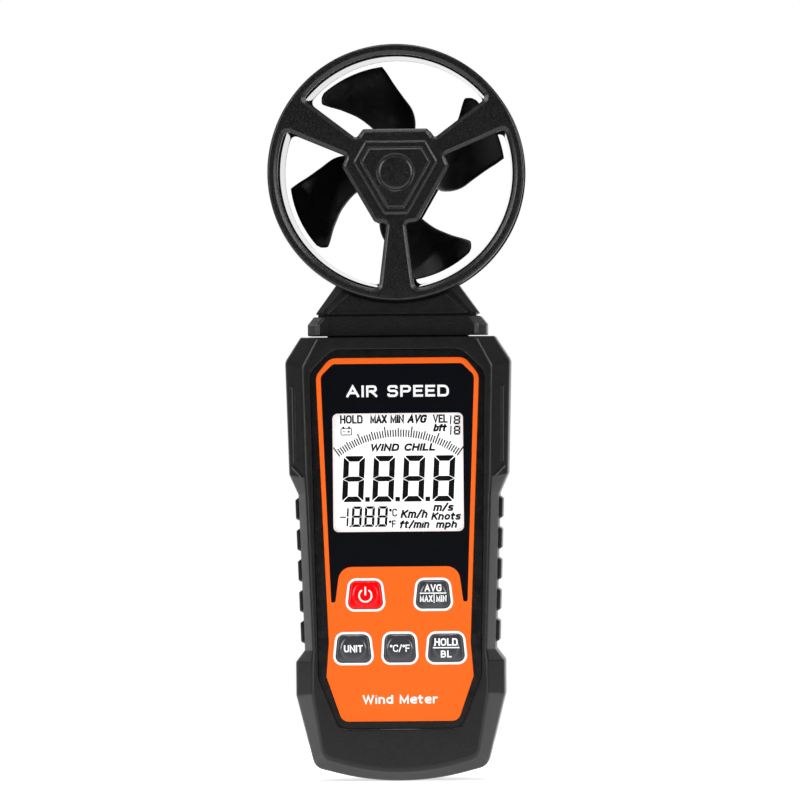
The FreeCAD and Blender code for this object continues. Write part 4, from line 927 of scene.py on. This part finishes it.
def build_badge():
    """A raised six-sided plate with a sunk line, and a plain round boss in the middle."""
    badge = Solid()
    spots = [math.radians(turn + lean) for turn in (0, 120, 240) for lean in (14, 46)]
    corners = [(10.55 * math.cos(t), 10.55 * math.sin(t), 0.7) for t in spots]

    def plate(inset):
        return turned(divided(rounded(grown(corners, -inset)), 6, FINE + 1), 0)

    steps = [(0.0, 12.7), (0.0, 13.4), (0.6, 13.76), (1.5, 13.78), (1.7, 13.62), (1.85, 13.62),
             (2.15, 13.84), (2.5, 13.86)]
    rings = [at_depth(plate(inset), -y) for inset, y in steps]
    for radius, y in ((4.6, 13.88), (4.35, 13.66), (4.1, 13.66), (3.6, 13.94), (2.4, 14.02),
                      (0.8, 14.05)):
        rings.append(at_depth(circle_facing(plate(0.0), 0.0, RING_Z, radius), -y))
    badge.skin(softened(rings, [0, 0.1, 0.15] + [0.06] * 5 + [0.1] * 5 + [0]), caps=True)
    make("hub_cover", badge, "case", [GRILLE], ["hub_badge"])


def build_sleeve():
    sleeve = Solid()
    sleeve.lathe([(-9.95, 28.9), (9.95, 28.9), (9.95, 27.3), (9.85, 27.2), (-5.95, 27.83),
                  (-6.0, 27.9), (-6.0, 28.1), (-6.05, 28.15), (-9.85, 28.3), (-9.95, 28.38)], 256)
    make("duct_sleeve", sleeve, "case", [SLEEVE], ["duct_liner"])


# ---------------------------------------------------------------- impeller

# The blade that points up: height above the axis, front edge x, back edge x and half depth
BLADE_TIP, BLADE_ROOT = 25.9, 4.6
BLADE_SECTIONS = [(4.2, 0.6, 4.2, 5.0), (7.3, 0.4, 8.7, 5.6), (11.4, 0.0, 10.3, 5.6),
                  (15.8, -1.9, 9.8, 5.4), (19.4, -4.8, 9.3, 5.2), (22.6, -8.0, 9.0, 5.0),
                  (26.4, -9.4, 8.4, 4.8)]


def blade_section(up):
    """Front edge x, back edge x and half depth at a height, on a smooth line through the list."""
    last = len(BLADE_SECTIONS) - 1
    k = max(i for i in range(last) if i == 0 or BLADE_SECTIONS[i][0] <= up)
    here, ahead = BLADE_SECTIONS[k], BLADE_SECTIONS[k + 1]
    before, beyond = BLADE_SECTIONS[max(k - 1, 0)], BLADE_SECTIONS[min(k + 2, last)]
    t = (up - here[0]) / (ahead[0] - here[0])
    values = []
    for j in (1, 2, 3):
        a, b, c, d = before[j], here[j], ahead[j], beyond[j]
        values.append(b + 0.5 * t * (c - a + t * (2 * a - 5 * b + 4 * c - d
                                                  + t * (3 * (b - c) + d - a))))
    return values


def blade_point(fraction, up):
    """Middle of the blade's thickness at a fraction of the way from its front to its back edge."""
    front_x, back_x, half = blade_section(up)
    belly = 0.55 * math.sin(math.pi * fraction)
    return front_x + (back_x - front_x) * fraction, half * (2 * fraction - 1) + belly


def blade_top(fraction):
    """Height at which a line of the blade meets the tip circle, rounded at the front corner."""
    limit = BLADE_TIP - (1.7 * (1 - fraction / 0.16) ** 2 if fraction < 0.16 else 0.0)
    return last_within(15.0, BLADE_SECTIONS[-1][0],
                       lambda up: math.hypot(blade_point(fraction, up)[0], up) < limit)


def build_impeller():
    wheel = Solid()
    # Places across and up a blade, each with the thickness that it allows
    columns = [(0.0, 0.3), (0.012, 0.62), (0.035, 0.88), (0.08, 1.0)]
    columns += [(k / 14, 1.0) for k in range(2, 13)]
    columns += [(0.93, 1.0), (0.975, 0.9), (0.99, 0.66), (1.0, 0.36)]
    rows = [(k / 22, 1.0) for k in range(22)] + [(0.985, 0.95), (0.997, 0.7), (1.0, 0.4)]
    for turn in (27.2, 117.2, 207.2, 297.2):
        cosine, sine = math.cos(math.radians(turn)), math.sin(math.radians(turn))
        rings = []
        for share, row_thick in rows:
            sides = ([], [])
            for fraction, thick in columns:
                up = BLADE_ROOT + (blade_top(fraction) - BLADE_ROOT) * share
                x, y = blade_point(fraction, up)
                for side, sign in zip(sides, (-0.5, 0.5)):
                    side.append((x * cosine - up * sine, y + sign * min(thick, row_thick),
                                 RING_Z + x * sine + up * cosine))
            rings.append(sides[0] + sides[1][::-1])
        count = len(columns)
        wheel.skin(rings)
        for ring in (rings[0], rings[-1]):
            pairs = [(i, i + 1, 2 * count - 2 - i, 2 * count - 1 - i) for i in range(count - 1)]
            wheel.add(ring, pairs)
    wheel.lathe([(-7.6, 0.78), (-7.6, 2.2), (-7.45, 3.6), (-7.0, 4.8), (-6.2, 5.45), (-5.2, 5.6),
                 (7.1, 5.6), (7.45, 5.5), (7.6, 5.25), (7.6, 5.02), (6.1, 5.0), (6.1, 3.2),
                 (7.55, 3.15), (7.6, 3.0), (7.6, 0.78)], 96)
    make("impeller_wheel", wheel, "rotor", [BLADE], ["impeller"], sharp=40,
         weighted=False)


# ---------------------------------------------------------------- back, screws and batteries

def build_door():
    """Battery door with a bevelled edge, four finger grooves and the latch on its inside."""
    door = Solid()
    low, high, back = 16.0, 65.5, 15.4
    outer = rectangle(18.3, low, high, 1.5)
    top = rounded(grown(outer, -0.45))
    grooves = [rectangle(6.0, high - 4.0 - 1.6 * k, high - 3.2 - 1.6 * k, 0.38)
               for k in range(4)]
    lips = [rounded(grown(groove, 0.18)) for groove in grooves]
    rings = [ring_of(grown(outer, -0.1), 13.95), ring_of(outer, 14.1),
             ring_of(outer, back - 0.35), at_depth(top, back)]
    door.skin(softened(rings, [0, 0, 0.15, 0]))
    door.lid(13.95, rounded(grown(outer, -0.1)))
    door.lid(back, top, lips)
    for lip, groove in zip(lips, grooves):
        door.skin([at_depth(lip, back), ring_of(groove, back - 0.12)])
        door.pit(rounded(groove), back - 0.12, back - 0.4)
    latch = rectangle(6.0, 17.05, 17.75, 0.2)
    rings = [ring_of(grown(latch, -0.15), 12.55), ring_of(latch, 12.75),
             ring_of(latch, 14.0)]
    door.skin(rings, caps=True)
    make("door_cover", door, "door", [DOOR], ["battery_door"])


def add_screw(screws, across, up, radius, seat, height, tip):
    """A pan-head screw with a cross recess. Its head sits at depth seat and faces the back."""
    def ring(r, y):
        return at_depth(circle(r, 48, across, up), y)

    top = seat + height
    profile = [(0.9, tip), (1.1, tip + 0.5), (1.1, seat), (radius, seat), (radius, top - 0.7),
               (radius * 0.96, top - 0.38), (radius * 0.84, top - 0.13), (radius * 0.68, top)]
    screws.skin([ring(r, y) for r, y in profile])
    arm, reach = 0.24, radius * 0.5
    right = [(arm, -reach), (arm, -arm), (reach, -arm), (reach, arm), (arm, arm), (arm, reach)]
    cross = [Vector((across + x, up + z)) for x, z in mirrored(right)]
    screws.lid(top, circle(radius * 0.68, 48, across, up), [cross])
    screws.pit(cross, top, top - 0.75)
    screws.lid(tip, circle(0.9, 48, across, up))


def build_screws():
    case_screws = Solid()
    for side in (-1, 1):
        for across, up in ((13.0, 9.6), (15.5, 97.1)):
            add_screw(case_screws, side * across, up, 2.2, 12.0, 1.5, -7.9)
    make("case_screw_set", case_screws, "case", [DARK_STEEL], ["case_screws"])
    head_screws = Solid()
    for side in (-1, 1):
        add_screw(head_screws, side * HEAD_SCREW_X, HEAD_SCREW_Z, 1.8, 9.6, 1.4, -5.9)
    make("head_screw_set", head_screws, "case", [DARK_STEEL], ["head_screws"])


BATTERY_Y, BATTERY_LENGTH, BATTERY_NUB = 8.2, 43.5, 1.0
BAY_LOW, BAY_HIGH, CONTACT, SPRING_ROOM = 17.0, 64.5, 0.4, 2.2


def build_batteries():
    """Three cells, the middle one turned end for end, with a spring at each flat end."""
    cells, springs = Solid(), Solid()
    length = BATTERY_LENGTH
    profile = [(0.0, 3.9), (0.0, 4.3), (0.12, 4.45), (0.12, 4.7), (0.3, 5.08), (0.6, 5.2),
               (length - 13.6, 5.2), (length - 13.55, 5.2), (length - 0.6, 5.2),
               (length - 0.2, 5.06), (length, 4.6), (length, 4.3), (length - 0.3, 4.1),
               (length - 0.3, 2.3), (length, 1.9), (length + 0.8, 1.9), (length + BATTERY_NUB, 1.7)]
    bands = [2, 2, 2, 0, 0, 0, 1, 1, 1, 1, 1, 2, 2, 2, 2, 2]
    for across, turned_over in ((-11.3, False), (0.0, True), (11.3, False)):
        start = BAY_HIGH - CONTACT - SPRING_ROOM if turned_over else BAY_LOW + CONTACT + SPRING_ROOM
        way = -1 if turned_over else 1
        rings = [[(p.x, p.y, start + way * along) for p in circle(r, 64, across, BATTERY_Y)]
                 for along, r in profile]
        cells.skin(rings, mark=bands, caps=True)
        coil = []
        for k in range(101):
            share = k / 100
            turn, wide = 2 * math.pi * 3.2 * share, 2.15 + 0.75 * share
            height = start - way * (0.3 + (SPRING_ROOM - 0.6) * share)
            coil.append([(across + (wide + 0.25 * math.cos(t)) * math.cos(turn),
                          BATTERY_Y + (wide + 0.25 * math.cos(t)) * math.sin(turn),
                          height + 0.25 * math.sin(t))
                         for t in (math.pi * j / 4 for j in range(8))])
        springs.skin(coil, caps=True)
    make("battery_set", cells, "case", [JACKET, COPPER, NICKEL],
         ["battery_cells"])
    make("spring_set", springs, "case", [NICKEL], ["battery_springs"])


# ---------------------------------------------------------------- assembly

build_boot()
build_label()
for name in KEYS:
    build_key(name)
build_display()
build_head_shell(-1, "head_front_cover", "head_front_shell")
build_head_shell(1, "head_rear_cover", "head_rear_shell")
build_guard(-1, "front_grille", "front_guard", 28.3)
build_guard(1, "rear_grille", "rear_guard", 27.2)
build_badge()
build_sleeve()
build_impeller()
build_door()
build_screws()
build_batteries()


# ---------------------------------------------------------------- studio

def soft_light(name, place, aim, size, power):
    light = bpy.data.lights.new(name, "AREA")
    light.shape = "RECTANGLE"
    light.size, light.size_y = size
    light.energy = power
    holder = bpy.data.objects.new(name, light)
    bpy.context.collection.objects.link(holder)
    holder.location = place
    holder.rotation_euler = (Vector(aim) - Vector(place)).to_track_quat("-Z", "Y").to_euler()
    holder.visible_camera = False


def build_studio():
    rim = [(p.x, p.y, -0.02) for p in circle(350, 96, up=0.0)]
    mesh = bpy.data.meshes.new("floor")
    mesh.from_pydata([Vector(p) * MM for p in rim], [], [tuple(range(len(rim)))])
    mesh.materials.append(material("pale_floor", (244, 244, 244), 0.6, specular=0.1, grain=900,
                                   depth=0.05, blotch=0.01, grain_glint=0.01, Emission_Strength=0.66,
                                   Emission_Color=(1.0, 1.0, 1.0, 1.0)))
    floor = bpy.data.objects.new("floor", mesh)
    bpy.context.collection.objects.link(floor)

    aim = (0, 0, 0.09)
    soft_light("left_box", (-1.05, -0.8, 0.5), aim, (0.2, 1.0), 8.5)
    soft_light("right_box", (1.05, -0.8, 0.5), aim, (0.2, 1.0), 8.0)
    soft_light("top_box", (0.0, -0.25, 1.3), aim, (0.9, 0.4), 8.0)

    world = bpy.data.worlds.new("studio")
    bpy.context.scene.world = world
    world.use_nodes = True
    tree = world.node_tree
    background = tree.nodes["Background"]
    place = add_node(tree, "TexCoord").outputs["Generated"]
    split = add_node(tree, "SeparateXYZ", Vector=place)
    # Bright behind the meter, dim elsewhere, and plain white where it is seen directly
    seen = add_node(tree, "Math")
    seen.operation = "MAXIMUM"
    feed(tree, seen.inputs[0], remap(tree, split.outputs["Y"], 0.12, 1.0, 0.35, 0.8))
    feed(tree, seen.inputs[1], add_node(tree, "LightPath").outputs["Is Camera Ray"])
    feed(tree, background.inputs["Color"], (1.0, 1.0, 1.0, 1.0))
    feed(tree, background.inputs["Strength"], seen.outputs[0])

    camera = bpy.data.cameras.new("camera")
    camera.lens = 600
    camera.sensor_width = 36
    camera.clip_end = 20
    holder = bpy.data.objects.new("camera", camera)
    bpy.context.collection.objects.link(holder)
    yaw, roll, distance = math.radians(1.4), math.radians(0.54), 3.2
    target = Vector((0.00024, 0, 0.09104))
    holder.location = target + Vector((math.sin(yaw), -math.cos(yaw), 0)) * distance
    holder.rotation_euler = (math.radians(90), roll, yaw)
    bpy.context.scene.camera = holder
    bpy.context.scene.view_settings.view_transform = "Standard"


build_studio()
